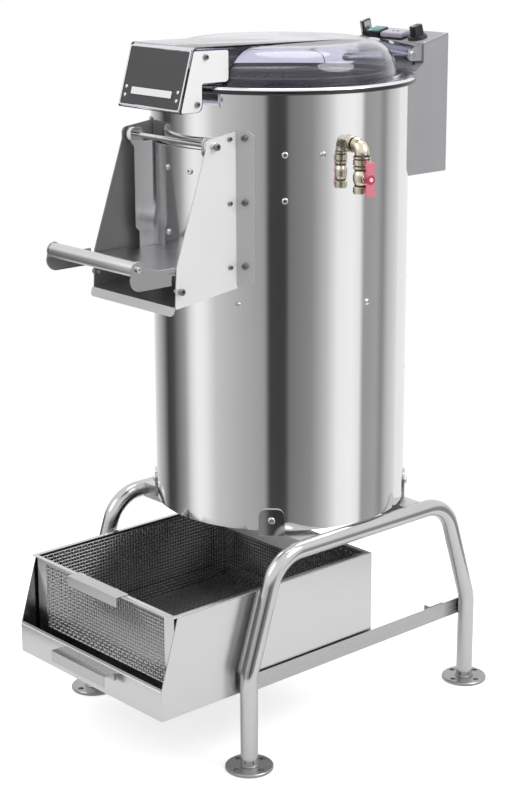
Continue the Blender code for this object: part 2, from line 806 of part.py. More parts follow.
def bent_handle(half_w, back_y, front_y, top_z, drop, tab):
    """A pull of bent sheet: a level tongue with a lip folded down in front and a tab behind."""
    outline = [(back_y, top_z), (front_y, top_z), (front_y, top_z - drop),
               (front_y + HANDLE_T, top_z - drop), (front_y + HANDLE_T, top_z - HANDLE_T)]
    if tab > 0:
        outline += [(back_y - HANDLE_T, top_z - HANDLE_T), (back_y - HANDLE_T, top_z - tab),
                    (back_y, top_z - tab)]
    else:
        outline += [(back_y, top_z - HANDLE_T)]
    return prism(outline, -half_w, half_w, X_AXIS)


def tray_handle(name):
    """The pull on the tray's front lip."""
    top_z = TRAY_Z + TRAY_LIP - TRAY_HANDLE_BELOW_LIP
    back_y = TRAY_FRONT_Y - GAP
    body = bent_handle(TRAY_HANDLE_HALF_W, back_y, back_y - TRAY_HANDLE_REACH, top_z,
                       TRAY_HANDLE_DROP, TRAY_HANDLE_TAB)
    place(body, name, satin_steel(name))


def basket_half_width():
    """Half the width of the basket's box inside the tray."""
    return TRAY_HALF_W - TRAY_WALL - BASKET_CLEAR


def basket_body(name):
    """A sheet box with a rim flange and large windows for the mesh."""
    half = basket_half_width()
    rim_z = TRAY_TOP_Z + GAP
    foot_z = TRAY_Z + BASKET_FLOOR_RISE
    body = block((-half, BASKET_FRONT_Y, foot_z), (half, BASKET_BACK_Y, rim_z + BASKET_WALL))
    reach = BASKET_RIM_REACH
    rim_half = TRAY_HALF_W
    body = join(body, block((-rim_half, BASKET_FRONT_Y - reach, rim_z),
                            (rim_half, BASKET_BACK_Y + reach, rim_z + BASKET_WALL)))
    wall = BASKET_WALL
    inside = block((-half + wall, BASKET_FRONT_Y + wall, foot_z + wall),
                   (half - wall, BASKET_BACK_Y - wall, rim_z + OVERRUN))
    low_z = foot_z + BASKET_FOOT_BAND
    high_z = rim_z - BASKET_TOP_BAND
    post = BASKET_POST
    across = block((-half - OVERRUN, BASKET_FRONT_Y + post, low_z),
                   (half + OVERRUN, BASKET_BACK_Y - post, high_z))
    along = block((-half + post, BASKET_FRONT_Y - OVERRUN, low_z),
                  (half - post, BASKET_BACK_Y + OVERRUN, high_z))
    floor = block((-half + post, BASKET_FRONT_Y + post, foot_z - OVERRUN),
                  (half - post, BASKET_BACK_Y - post, foot_z + OVERRUN))
    place(cut(body, inside, across, along, floor), name, satin_steel(name),
          (0, BASKET_FRONT_Y, TRAY_TOP_Z))


def basket_mesh(name):
    """The mesh tub that lines the basket's box."""
    half = basket_half_width() - BASKET_WALL - GAP
    front = BASKET_FRONT_Y + BASKET_WALL + GAP
    back = BASKET_BACK_Y - BASKET_WALL - GAP
    foot_z = TRAY_Z + BASKET_FLOOR_RISE + BASKET_WALL + GAP
    top_z = TRAY_TOP_Z - BASKET_TOP_BAND / 2
    body = block((-half, front, foot_z), (half, back, top_z))
    inside = block((-half + MESH_T, front + MESH_T, foot_z + MESH_T),
                   (half - MESH_T, back - MESH_T, top_z + OVERRUN))
    place(cut(body, inside), name, mesh_steel(name), (0, BASKET_FRONT_Y, TRAY_TOP_Z))


def basket_handle(name):
    """The pull on the basket's front rim."""
    top_z = TRAY_TOP_Z + GAP + BASKET_WALL + GAP + HANDLE_T
    body = bent_handle(BASKET_HANDLE_HALF_W, BASKET_FRONT_Y + BASKET_WALL,
                       BASKET_FRONT_Y - BASKET_HANDLE_REACH, top_z, BASKET_HANDLE_DROP, 0)
    place(body, name, satin_steel(name), (0, BASKET_FRONT_Y, TRAY_TOP_Z))


# Drum

def window_cutter(half_w, low, high, corner):
    """A rounded window through the front wall of the drum."""
    outline = fillet([(-half_w, low), (half_w, low), (half_w, high), (-half_w, high)], [corner] * 4)
    return prism(outline, -DRUM_R - OVERRUN, -DRUM_R * math.cos(math.pi / 4), Y_AXIS)


def discharge_cutter(grow=0):
    """The discharge opening's window."""
    low = DRUM_FOOT_Z + OPENING_RISE
    return window_cutter(OPENING_HALF_W + grow, low - grow, low + OPENING_HEIGHT + grow,
                         OPENING_CORNER)


def inlet_cutter():
    """The round hole for the water nipple."""
    z = DRUM_FOOT_Z + INLET_RISE
    bar = rod(NIPPLE_R + GAP, DRUM_R - OVERRUN, DRUM_R + OVERRUN, (0, z), X_AXIS)
    return turned(bar, INLET_AZIMUTH - math.pi / 2)


def drum_shell(name):
    """The drum's rolled wall with its discharge, service and water openings."""
    wall = revolve([(DRUM_R, DRUM_TOP_Z), (DRUM_BORE_R, DRUM_TOP_Z),
                    (DRUM_BORE_R, DRUM_FOOT_Z), (DRUM_R, DRUM_FOOT_Z)], DRUM_STEPS)
    service = arc_plate(DRUM_BORE_R - OVERRUN, DRUM_R + OVERRUN, math.pi, SERVICE_HALF_ANGLE,
                        DRUM_FOOT_Z + SERVICE_RISE, DRUM_FOOT_Z + SERVICE_RISE + SERVICE_HEIGHT)
    place(cut(wall, discharge_cutter(), service, inlet_cutter()), name, polished_steel(name))


def top_rim(name):
    """A rolled sheet ring over the drum's top edge, curled under at its outer side."""
    top, under = RIM_TOP_Z, RIM_UNDER_Z
    curl, sheet = RIM_CURL, SHEET
    outer = fillet([(RIM_INNER_R, under - RIM_LIP), (RIM_INNER_R, top), (RIM_R, top),
                    (RIM_R, top - RIM_DROP), (RIM_R - curl - sheet, top - RIM_DROP)],
                   [0, sheet, curl, curl, 0], closed=False, steps=CURL_STEPS)
    inner = fillet([(RIM_R - curl - sheet, top - RIM_DROP + sheet), (RIM_R - sheet, top - RIM_DROP + sheet),
                    (RIM_R - sheet, under), (RIM_INNER_R + sheet, under),
                    (RIM_INNER_R + sheet, under - RIM_LIP)],
                   [0, curl - sheet, curl - sheet, 0, 0], closed=False, steps=CURL_STEPS - 1)
    place(revolve(outer + inner, DRUM_STEPS), name, polished_steel(name))


def base_plate(name):
    """The plate that closes the drum below, open round the drain pipe."""
    low = DRUM_FOOT_Z + BASE_RISE
    plate = revolve([(0, low + BASE_T), (0, low), (DRUM_BORE_R - GAP, low),
                     (DRUM_BORE_R - GAP, low + BASE_T)], DRUM_STEPS)
    hole = rod(DRAIN_R + GAP, low - OVERRUN, low + OVERRUN, (DRAIN_X, DRAIN_Y), Z_AXIS)
    place(cut(plate, hole), name, satin_steel(name))


def chamber_floor(name):
    """The pan under the abrasive disc, with an upstand, a shaft hole and a drain hole."""
    edge = DRUM_BORE_R - GAP
    pan = revolve([(SHAFT_R + PIVOT_GAP, FLOOR_TOP_Z), (SHAFT_R + PIVOT_GAP, FLOOR_UNDER_Z),
                   (edge, FLOOR_UNDER_Z), (edge, FLOOR_TOP_Z + FLOOR_FLANGE),
                   (edge - FLOOR_T, FLOOR_TOP_Z + FLOOR_FLANGE), (edge - FLOOR_T, FLOOR_TOP_Z)],
                  DRUM_STEPS)
    hole = rod(DRAIN_R - DRAIN_WALL, FLOOR_UNDER_Z - OVERRUN, FLOOR_TOP_Z + OVERRUN,
               (DRAIN_X, DRAIN_Y), Z_AXIS)
    place(cut(pan, hole), name, cast_aluminium(name))


def abrasive_liner(name):
    """The grit-coated sleeve inside the drum's wall, open at the discharge."""
    outer = DRUM_BORE_R - GAP
    low = FLOOR_TOP_Z + FLOOR_FLANGE + GAP
    high = DRUM_TOP_Z - LINER_SHORT
    sleeve = revolve([(outer, high), (outer - LINER_T, high), (outer - LINER_T, low), (outer, low)],
                     DRUM_STEPS)
    place(cut(sleeve, discharge_cutter(), inlet_cutter()), name, abrasive(name))


def disc_height(radius, angle):
    """The disc's wavy top: three swells that grow from the middle to the edge."""
    share = radius / DISC_R
    return DISC_T + DISC_WAVE * share * (1 + math.cos(DISC_WAVES * angle)) / 2


def abrasive_disc(name):
    """The turning plate that throws the potatoes against the wall."""
    body = bmesh.new()
    steps = DISC_STEPS
    centre = body.verts.new((0, 0, DISC_UNDER_Z + DISC_T))
    rings = []
    for ring in range(1, DISC_RINGS + 1):
        radius = DISC_R * ring / DISC_RINGS
        rings.append([body.verts.new((radius * math.cos(math.tau * i / steps),
                                      radius * math.sin(math.tau * i / steps),
                                      DISC_UNDER_Z + disc_height(radius, math.tau * i / steps)))
                      for i in range(steps)])
    foot = [body.verts.new((vert.co.x, vert.co.y, DISC_UNDER_Z)) for vert in rings[-1]]
    for i in range(steps):
        j = (i + 1) % steps
        body.faces.new((centre, rings[0][i], rings[0][j]))
        for inner, outer in zip(rings, rings[1:]):
            body.faces.new((inner[i], outer[i], outer[j], inner[j]))
        body.faces.new((rings[-1][i], foot[i], foot[j], rings[-1][j]))
    body.faces.new(reversed(foot))
    hub = rod(DISC_HUB_R, DISC_UNDER_Z - DISC_HUB_DROP, DISC_UNDER_Z + DISC_T / 2, (0, 0), Z_AXIS)
    nut = rod(DISC_NUT_R, DISC_UNDER_Z + DISC_T / 2, DISC_UNDER_Z + DISC_T + DISC_NUT_H, (0, 0), Z_AXIS, 6)
    bore = rod(SHAFT_R + GAP, DISC_UNDER_Z - DISC_HUB_DROP - OVERRUN, DISC_UNDER_Z + SHAFT_SOCKET,
               (0, 0), Z_AXIS)
    place(cut(join(tidy(body), hub, nut), bore), name, abrasive(name))


# Drive

def drive_levels():
    """Underside of the bearing housing and the foot of both pulleys."""
    housing_foot = FLOOR_UNDER_Z - GAP - HOUSING_LENGTH
    return housing_foot, housing_foot - PULLEY_DROP - PULLEY_H


def main_shaft(name):
    """The upright shaft from the driven pulley to the disc."""
    foot = drive_levels()[1]
    body = rod(SHAFT_R, foot, DISC_UNDER_Z + SHAFT_SOCKET - GAP, (0, 0), Z_AXIS)
    place(body, name, satin_steel(name))


def bearing_housing(name):
    """The flanged tube under the chamber floor that holds both bearings."""
    foot = drive_levels()[0]
    top = FLOOR_UNDER_Z - GAP
    bore = BEARING_R + GAP
    body = revolve([(bore, top), (bore, foot), (HOUSING_R, foot), (HOUSING_R, top - HOUSING_PLATE_T),
                    (HOUSING_PLATE_R, top - HOUSING_PLATE_T), (HOUSING_PLATE_R, top)], ROUND_STEPS)
    place(body, name, cast_aluminium(name))


def bearing(name, low):
    """A ball bearing, as one ring with dished faces."""
    inner, outer = SHAFT_R + GAP, BEARING_R
    high = low + BEARING_H
    middle = (inner + outer) / 2
    dip = BEARING_DIP
    profile = [(outer, high), (middle, high - dip), (inner, high), (inner, low), (middle, low + dip), (outer, low)]
    place(revolve(profile, ROUND_STEPS), name, polished_steel(name))


def groove_profile(radius, foot):
    """The outer side of a V-belt pulley, from its top edge to its foot."""
    middle = foot + PULLEY_H / 2
    return [(radius, foot + PULLEY_H), (radius, middle + GROOVE_TOP_W / 2),
            (radius - GROOVE_DEPTH, middle + GROOVE_FOOT_W / 2),
            (radius - GROOVE_DEPTH, middle - GROOVE_FOOT_W / 2),
            (radius, middle - GROOVE_TOP_W / 2), (radius, foot)]


def driven_pulley(name):
    """The large pulley: hub, thin web and grooved rim."""
    foot = drive_levels()[1]
    inner = PULLEY_R - GROOVE_DEPTH - PULLEY_RIM_T
    middle = foot + PULLEY_H / 2
    web = PULLEY_WEB_T / 2
    profile = groove_profile(PULLEY_R, foot) + [
        (inner, foot), (inner, middle - web), (PULLEY_HUB_R, middle - web), (PULLEY_HUB_R, foot),
        (SHAFT_R + GAP, foot), (SHAFT_R + GAP, foot + PULLEY_H), (PULLEY_HUB_R, foot + PULLEY_H),
        (PULLEY_HUB_R, middle + web), (inner, middle + web), (inner, foot + PULLEY_H)]
    place(revolve(profile, WHEEL_STEPS), name, cast_aluminium(name))


def motor_levels():
    """Heights of the motor: mounting plate top and motor top."""
    plate_top = drive_levels()[1] - PULLEY_H - MOTOR_H
    motor_top = plate_top + GAP + MOTOR_H
    return plate_top, motor_top


def motor_pulley(name):
    """The small pulley with the motor's shaft end."""
    foot = drive_levels()[1]
    motor_top = motor_levels()[1]
    profile = [(0, foot + PULLEY_H)] + groove_profile(MOTOR_PULLEY_R, foot) + [
        (MOTOR_SHAFT_R, foot), (MOTOR_SHAFT_R, motor_top - MOTOR_SHAFT_SINK), (0, motor_top - MOTOR_SHAFT_SINK)]
    place(revolve(profile, ROUND_STEPS, (0, MOTOR_Y)), name, satin_steel(name), (0, MOTOR_Y, foot))


def belt_outline(grow):
    """The loop round both pulleys at a distance from the grooves' feet."""
    big = PULLEY_R - GROOVE_DEPTH + grow
    small = MOTOR_PULLEY_R - GROOVE_DEPTH + grow
    lean = math.asin((big - small) / MOTOR_Y)
    points = []
    for i in range(DRUM_STEPS // 2 + 1):
        angle = math.pi - lean + (math.pi + 2 * lean) * i / (DRUM_STEPS // 2)
        points.append((big * math.cos(angle), big * math.sin(angle)))
    for i in range(ROUND_STEPS // 2 + 1):
        angle = lean + (math.pi - 2 * lean) * i / (ROUND_STEPS // 2)
        points.append((small * math.cos(angle), MOTOR_Y + small * math.sin(angle)))
    return points


def drive_belt(name):
    """The V-belt from the motor to the main shaft."""
    middle = drive_levels()[1] + PULLEY_H / 2
    half = GROOVE_FOOT_W / 2 - BELT_SLACK
    outer = prism(belt_outline(GROOVE_DEPTH - BELT_LIFT), middle - half, middle + half)
    inner = prism(belt_outline(BELT_SLACK), middle - half - OVERRUN, middle + half + OVERRUN)
    place(cut(outer, inner), name, black_rubber(name))


def motor(name):
    """The upright motor: flange, end bells, ribbed body and terminal box."""
    plate_top, top = motor_levels()
    foot = plate_top + GAP
    bell = foot + MOTOR_PLATE_T
    body_low = bell + MOTOR_BELL_H
    body_high = body_low + MOTOR_BODY_H
    core = revolve([(0, top), (0, foot), (MOTOR_PLATE_R, foot), (MOTOR_PLATE_R, bell),
                    (MOTOR_BELL_R, bell), (MOTOR_BELL_R, top - MOTOR_BELL_H / 2),
                    (MOTOR_BELL_R / 2, top)], WHEEL_STEPS)
    outline = []
    for i in range(MOTOR_FINS):
        for place_share, radius in ((0, MOTOR_BODY_R), (FIN_START_SHARE, MOTOR_BODY_R + MOTOR_FIN),
                                    (FIN_MIDDLE_SHARE, MOTOR_BODY_R + MOTOR_FIN),
                                    (FIN_END_SHARE, MOTOR_BODY_R)):
            angle = math.tau * (i + place_share) / MOTOR_FINS
            outline.append((radius * math.cos(angle), radius * math.sin(angle)))
    ribs = prism(outline, body_low, body_high)
    box = block((MOTOR_BODY_R - MOTOR_FIN, -MOTOR_BOX_W / 2, body_low + MOTOR_BELL_H),
                (MOTOR_BODY_R + MOTOR_BOX_REACH, MOTOR_BOX_W / 2, body_low + MOTOR_BELL_H + MOTOR_BOX_H))
    bore = rod(MOTOR_SHAFT_R + GAP, top - MOTOR_BELL_H / 2, top + OVERRUN, (0, 0), Z_AXIS)
    body = moved(cut(join(core, ribs, box), bore), (0, MOTOR_Y, 0))
    place(body, name, cast_aluminium(name))


def motor_mount(name):
    """The motor's plate on four posts above the base plate."""
    top = motor_levels()[0]
    low = DRUM_FOOT_Z + BASE_RISE + BASE_T + GAP
    half = MOUNT_HALF_W
    plate = block((-half, MOTOR_Y - half, top - MOUNT_T), (half, MOTOR_Y + half, top))
    plate = combine(plate, rod(DRUM_BORE_R - GAP, top - MOUNT_T - OVERRUN, top + OVERRUN, (0, 0), Z_AXIS,
                               DRUM_STEPS), "INTERSECT")
    spot = half - MOUNT_POST_INSET
    for x in (-spot, spot):
        for y in (MOTOR_Y - spot, MOTOR_Y + spot - MOUNT_POST_INSET * 2):
            plate = join(plate, rod(MOUNT_POST_R, low, top - MOUNT_T / 2, (x, y), Z_AXIS, SMALL_STEPS))
    place(plate, name, satin_steel(name))


def drain_pipe(name):
    """The pipe that drops peel and water from the chamber into the basket."""
    top = FLOOR_UNDER_Z - GAP
    foot = DRUM_FOOT_Z - DRAIN_BELOW
    inner = DRAIN_R - DRAIN_WALL
    body = revolve([(DRAIN_R, top), (inner, top), (inner, foot), (DRAIN_R, foot)], ROUND_STEPS,
                   (DRAIN_X, DRAIN_Y))
    place(body, name, satin_steel(name))


def service_cover(name):
    """The curved plate over the service opening at the back."""
    lap = COVER_LAP
    low = DRUM_FOOT_Z + SERVICE_RISE - lap
    high = DRUM_FOOT_Z + SERVICE_RISE + SERVICE_HEIGHT + lap
    inner = DRUM_R + GAP
    body = arc_plate(inner, inner + COVER_T, math.pi, SERVICE_HALF_ANGLE + lap / inner, low, high,
                     COVER_STEPS)
    place(body, name, polished_steel(name))


# Discharge chute

def chute_outline():
    """The side plate seen from the side: (y, z), with a round eye about the hinge rod."""
    base = DRUM_FOOT_Z
    back_y = -DRUM_R * math.cos(math.pi / 4)
    rod_z = base + ROD_RISE
    eye = ROD_EYE_R
    return fillet([(back_y, base + CHUTE_BACK_RISE), (CHUTE_FRONT_Y, base + CHUTE_FRONT_RISE),
                   (CHUTE_STEP_Y, base + CHUTE_STEP_RISE), (ROD_Y - eye, rod_z - ROD_EYE_BELOW),
                   (ROD_Y - eye, rod_z + ROD_EYE_ABOVE), (back_y, base + CHUTE_TOP_RISE)],
                  [0, CHUTE_NOSE_R, eye, ROD_EYE_CORNER_R, ROD_EYE_CORNER_R, 0])


def chute_plate(name, side):
    """A side plate of the chute with its flange curved along the drum's wall."""
    base = DRUM_FOOT_Z
    body = prism(chute_outline(), CHUTE_HALF_W, CHUTE_HALF_W + SHEET, X_AXIS)
    inner = DRUM_R + GAP
    start = math.asin(CHUTE_HALF_W / inner)
    arc = CHUTE_FLANGE_ARC
    low, high = base + CHUTE_BACK_RISE, base + CHUTE_TOP_RISE - CHUTE_PLATE_FOOT
    flange = arc_plate(inner, inner + SHEET, start + arc / 2, arc / 2, low, high,
                       CHUTE_FLANGE_STEPS)
    near, far = CHUTE_HALF_W - OVERRUN, inner * math.sin(start + arc)
    chamfer = CHUTE_FLANGE_CHAMFER
    shape = prism([(near, low), (far - chamfer, low), (far + SHEET, low + chamfer),
                   (far + SHEET, high - chamfer), (far - chamfer, high), (near, high)],
                  -DRUM_R - OVERRUN, 0, Y_AXIS)
    flange = combine(flange, shape, "INTERSECT")
    body = cut(body, rod(inner, low - OVERRUN, high + OVERRUN, (0, 0), Z_AXIS, ROOM_STEPS))
    body = join(body, flange)
    pin_place = (CATCH_PIN_Y, base + CATCH_PIN_RISE)
    body = join(body, rod(CATCH_PIN_R, CHUTE_HALF_W - CATCH_PIN_REACH, CHUTE_HALF_W + SHEET / 2,
                          pin_place, X_AXIS, SMALL_STEPS),
                rod(CATCH_HEAD_R, CHUTE_HALF_W + SHEET / 2, CHUTE_HALF_W + SHEET + CATCH_HEAD_T,
                    pin_place, X_AXIS, SMALL_STEPS))
    hole = rod(ROD_R + GAP, CHUTE_HALF_W - OVERRUN, CHUTE_HALF_W + OVERRUN, (ROD_Y, base + ROD_RISE),
               X_AXIS)
    place(sided(cut(body, hole), side), name, polished_steel(name))


def chute_floor(name):
    """The sloping floor between the side plates, with its lip folded down in front."""
    base = DRUM_FOOT_Z
    back_y = -DRUM_R * math.cos(math.pi / 4)
    slope = (CHUTE_BACK_RISE - CHUTE_FRONT_RISE) / (back_y - CHUTE_FRONT_Y)
    inside_y = CHUTE_FRONT_Y - GAP - SHEET
    lift_z = base + CHUTE_FRONT_RISE + SHEET
    half = CHUTE_HALF_W - GAP
    floor = prism([(inside_y, lift_z), (back_y, lift_z + slope * (back_y - inside_y)),
                   (back_y, lift_z + slope * (back_y - inside_y) + SHEET), (inside_y, lift_z + SHEET)],
                  -half, half, X_AXIS)
    lip_half = CHUTE_HALF_W + CHUTE_LIP_WING
    lip_y = inside_y
    lip = prism([(lip_y, lift_z + SHEET), (lip_y - CHUTE_LIP_FORWARD, lift_z + SHEET - CHUTE_LIP_DROP),
                 (lip_y - CHUTE_LIP_FORWARD + SHEET, lift_z + SHEET - CHUTE_LIP_DROP),
                 (lip_y + SHEET, lift_z)], -lip_half, lip_half, X_AXIS)
    lip = combine(lip, lip_shape(lip_half, lift_z + SHEET), "INTERSECT")
    floor = cut(floor, rod(DRUM_R + GAP, base, DRUM_TOP_Z, (0, 0), Z_AXIS, ROOM_STEPS))
    place(join(floor, lip), name, polished_steel(name))


def lip_shape(half, top):
    """The lip's front view, with rounded lower corners."""
    drop = CHUTE_LIP_DROP
    outline = fillet([(-half, top - drop), (half, top - drop), (half, top + drop), (-half, top + drop)],
                     [drop / 2, drop / 2, 0, 0])
    return prism(outline, CHUTE_FRONT_Y - OVERRUN * 2, CHUTE_FRONT_Y + OVERRUN, Y_AXIS)


def door_hinge_rod(name):
    """The rod across the chute's top with a round head outside each plate."""
    spot = (ROD_Y, DRUM_FOOT_Z + ROD_RISE)
    reach = CHUTE_HALF_W + SHEET + GAP
    body = rod(ROD_R, -reach - ROD_HEAD_T / 2, reach + ROD_HEAD_T / 2, spot)
    for side in HALVES:
        low, high = sorted((side * reach, side * (reach + ROD_HEAD_T)))
        body = join(body, rod(ROD_HEAD_R, low, high, spot))
    place(body, name, satin_steel(name))


def hinge_bush(name, side):
    """A domed spacer on the rod between the side plate and the door's ear."""
    low = DOOR_HALF_W + PIVOT_GAP
    high = CHUTE_HALF_W - GAP
    radius = BUSH_R
    bore = ROD_R + GAP
    profile = [(bore, low), (radius - BUSH_DOME * 2, low), (radius - BUSH_DOME / 2, low + BUSH_DOME / 2),
               (radius, low + BUSH_DOME), (radius, high), (bore, high)]
    body = turned(revolve(profile), math.pi / 2, (0, 1, 0))
    body = moved(body, (0, ROD_Y, DRUM_FOOT_Z + ROD_RISE))
    place(sided(body, side), name, white_plastic(name))


# Discharge door

def door_origin():
    """The point of the door's hinge axis on the machine's middle plane."""
    return (0, ROD_Y, DRUM_FOOT_Z + ROD_RISE)


def door_levels():
    """Foot and top of the door's curved plate."""
    return DRUM_FOOT_Z + DOOR_FOOT_RISE, DRUM_FOOT_Z + ROD_RISE - DOOR_TOP_BELOW_ROD


def door_inner_radius():
    """Inside of the door's plate, outside the seal."""
    return DRUM_R + GAP + SEAL_T + GAP


def discharge_door(name):
    """A curved plate over the opening with side flanges that rise to ears on the rod."""
    low, high = door_levels()
    inner = door_inner_radius()
    body = arc_plate(inner, inner + SHEET, 0, math.asin((DOOR_HALF_W - SHEET / 2) / inner), low, high)
    rod_z = DRUM_FOOT_Z + ROD_RISE
    back_y = -inner * math.cos(math.asin(DOOR_HALF_W / inner)) - SHEET / 2
    chamfer_z = DRUM_FOOT_Z + DOOR_CHAMFER_RISE
    eye = DOOR_EYE_R
    outline = fillet([(back_y, low), (DOOR_FLANGE_NARROW_Y, low),
                      (DOOR_FLANGE_NARROW_Y, chamfer_z), (DOOR_FLANGE_Y, chamfer_z + DOOR_CHAMFER),
                      (DOOR_FLANGE_Y, rod_z - eye), (ROD_Y - eye, rod_z + eye), (ROD_Y + eye, rod_z + eye),
                      (ROD_Y + eye, rod_z - eye), (back_y, high)],
                     [0, eye / 4, 0, 0, eye / 2, eye / 2, eye / 2, eye / 4, 0])
    for side in HALVES:
        x_low, x_high = sorted((side * (DOOR_HALF_W - SHEET), side * DOOR_HALF_W))
        body = join(body, prism(outline, x_low, x_high, X_AXIS))
    hole = rod(ROD_R + PIVOT_GAP, -DOOR_HALF_W - OVERRUN, DOOR_HALF_W + OVERRUN, (ROD_Y, rod_z))
    place(cut(body, hole), name, polished_steel(name), door_origin())


def door_seal(name):
    """The rubber frame between the door and the drum's wall."""
    inner = DRUM_R + GAP
    low = DRUM_FOOT_Z + OPENING_RISE
    band = SEAL_BAND
    half = OPENING_HALF_W + band
    body = arc_plate(inner, inner + SEAL_T, 0, math.asin(half / inner), low - band,
                     low + OPENING_HEIGHT + band)
    outline = fillet([(-half, low - band), (half, low - band), (half, low + OPENING_HEIGHT + band),
                      (-half, low + OPENING_HEIGHT + band)], [OPENING_CORNER] * 4)
    outside = prism(outline, -DRUM_R - OVERRUN, 0, Y_AXIS)
    body = combine(body, outside, "INTERSECT")
    place(cut(body, discharge_cutter()), name, black_rubber(name), door_origin())


def handle_bracket(name):
    """The shelf below the door that carries the two handle arms."""
    top = DRUM_FOOT_Z + SHELF_RISE
    low = top - SHEET
    rear = SHELF_REAR_HALF_W
    half = SHELF_HALF_W
    arm = ARM_X + ARM_T
    narrow = DOOR_FLANGE_NARROW_Y - SHEET / 2
    outline = [(-rear, -DRUM_R * math.cos(math.pi / 6)), (-rear, narrow), (-half, narrow),
               (-half, SHELF_NECK_Y), (-arm, SHELF_NECK_Y), (-arm, SHELF_FRONT_Y),
               (arm, SHELF_FRONT_Y), (arm, SHELF_NECK_Y), (half, SHELF_NECK_Y), (half, narrow),
               (rear, narrow), (rear, -DRUM_R * math.cos(math.pi / 6))]
    body = prism(outline, low, top)
    keep_out = door_inner_radius() + SHEET + GAP
    body = cut(body, rod(keep_out, low - OVERRUN, top + OVERRUN, (0, 0), Z_AXIS, ROOM_STEPS))
    body = join(body, block((-half, SHELF_NECK_Y, low - SHELF_LIP),
                            (half, SHELF_NECK_Y + SHEET, top - SHEET / 2)))
    for side in HALVES:
        x_low, x_high = sorted((side * ARM_X, side * arm))
        body = join(body, prism(arm_outline(top), x_low, x_high, X_AXIS))
    hole = rod(ROD_R, -arm - OVERRUN, arm + OVERRUN, (GRIP_Y, DRUM_FOOT_Z + GRIP_RISE))
    place(cut(body, hole), name, satin_steel(name), door_origin())


def arm_outline(top):
    """A handle arm seen from the side: a plate that ends in a round eye about the grip."""
    grip_z = DRUM_FOOT_Z + GRIP_RISE
    eye = ARM_EYE_R
    outline = [(SHELF_NECK_Y, top), (SHELF_NECK_Y - ARM_BACK_LEAN, top - ARM_BACK_DROP),
               (ARM_BELLY_Y, top - ARM_BELLY_DROP)]
    steps = ROUND_STEPS // 2
    for i in range(steps + 1):
        angle = ARM_EYE_START + (ARM_EYE_END - ARM_EYE_START) * i / steps
        outline.append((GRIP_Y + eye * math.cos(angle), grip_z + eye * math.sin(angle)))
    outline.append((ARM_NECK_Y, top + SHEET))
    outline.append((SHELF_FRONT_Y - ARM_BACK_LEAN, top))
    return outline


def handle_grip(name):
    """The round grip bar between the arms."""
    spot = (GRIP_Y, DRUM_FOOT_Z + GRIP_RISE)
    reach = ARM_X - GAP
    body = rounded(rod(GRIP_R, -reach, reach, spot), BEVEL_SMALL)
    place(body, name, satin_steel(name), door_origin())


# Lid

def lid_base():
    """Underside of the lid, on the rim."""
    return RIM_TOP_Z + LID_RISE


def hinge_origin():
    """The point of the lid's hinge axis on the machine's middle plane."""
    return (0, HINGE_Y, RIM_TOP_Z + HINGE_RISE)


def dome_profile(shrink, foot):
    """Half of the dome's section: flat top, rounded shoulder and a short skirt."""
    top = lid_base() + LID_HEIGHT - shrink
    skirt = lid_base() + LID_SKIRT
    radius = LID_R - shrink
    flat = LID_FLAT_R - shrink / 2
    points = [(0, foot), (radius, foot), (radius, skirt)]
    for i in range(1, LID_SHOULDER_STEPS + 1):
        turn = math.pi / 2 * i / LID_SHOULDER_STEPS
        points.append((flat + (radius - flat) * math.cos(turn), skirt + (top - skirt) * math.sin(turn)))
    return points + [(0, top)]


def ridge_outline(shrink, foot_extra):
    """The ridge's section along the machine: (y, z), from the nose's foot to the hinge."""
    base = lid_base()
    top = base + LID_HEIGHT - RIDGE_TOP_DROP - shrink
    lean = (NOSE_FOOT_Y - NOSE_TOP_Y) / (LID_HEIGHT + NOSE_DROP)
    nose_foot = base - NOSE_DROP - foot_extra
    front_foot = NOSE_FOOT_Y + shrink + lean * foot_extra
    front_top = NOSE_TOP_Y + shrink - lean * shrink
    back = RIDGE_BACK_Y - shrink
    back_top = base + LID_HEIGHT - RIDGE_BACK_DROP - shrink
    chamfer = RIDGE_BACK_CHAMFER
    cheek = NOSE_CHEEK_Y + (shrink if foot_extra else 0)
    foot = base + RIDGE_FOOT_LIFT - foot_extra
    outline = [(front_foot, nose_foot), (cheek, nose_foot), (cheek, foot), (back, foot),
               (back, back_top - chamfer), (back - chamfer, back_top), (RIDGE_SLOPE_Y, top),
               (front_top, top)]
    if foot_extra:
        outline = [(front_foot, nose_foot), (back, nose_foot)] + outline[4:]
    return outline


def lid_dome(name):
    """The clear lid: dome and ridge as one open shell, bored for the hinge pin."""
    base = lid_base()
    outer = join(revolve(dome_profile(0, base), LID_STEPS),
                 prism(ridge_outline(0, 0), -RIDGE_HALF_W, RIDGE_HALF_W, X_AXIS))
    flange = revolve([(LID_FLAT_R, base), (LID_FOOT_R, base), (LID_FOOT_R, base + LID_FOOT_T),
                      (LID_FLAT_R, base + LID_FOOT_T)], LID_STEPS)
    outer = join(outer, flange)
    inner = join(revolve(dome_profile(LID_WALL, base - OVERRUN * 2), LID_STEPS),
                 prism(ridge_outline(LID_WALL, OVERRUN * 2), -RIDGE_HALF_W + LID_WALL,
                       RIDGE_HALF_W - LID_WALL, X_AXIS))
    hole = rod(HINGE_PIN_R + PIVOT_GAP, -RIDGE_HALF_W - OVERRUN, RIDGE_HALF_W + OVERRUN,
               (HINGE_Y, RIM_TOP_Z + HINGE_RISE))
    place(cut(outer, inner, hole), name, clear_lid(name), hinge_origin())


def nose_frame():
    """The nose's leaning front: foot point, unit vector up it and its length."""
    base = lid_base()
    foot = Vector((0, NOSE_FOOT_Y, base - NOSE_DROP))
    top = Vector((0, NOSE_TOP_Y, base + LID_HEIGHT - RIDGE_TOP_DROP))
    return foot, (top - foot).normalized(), (top - foot).length


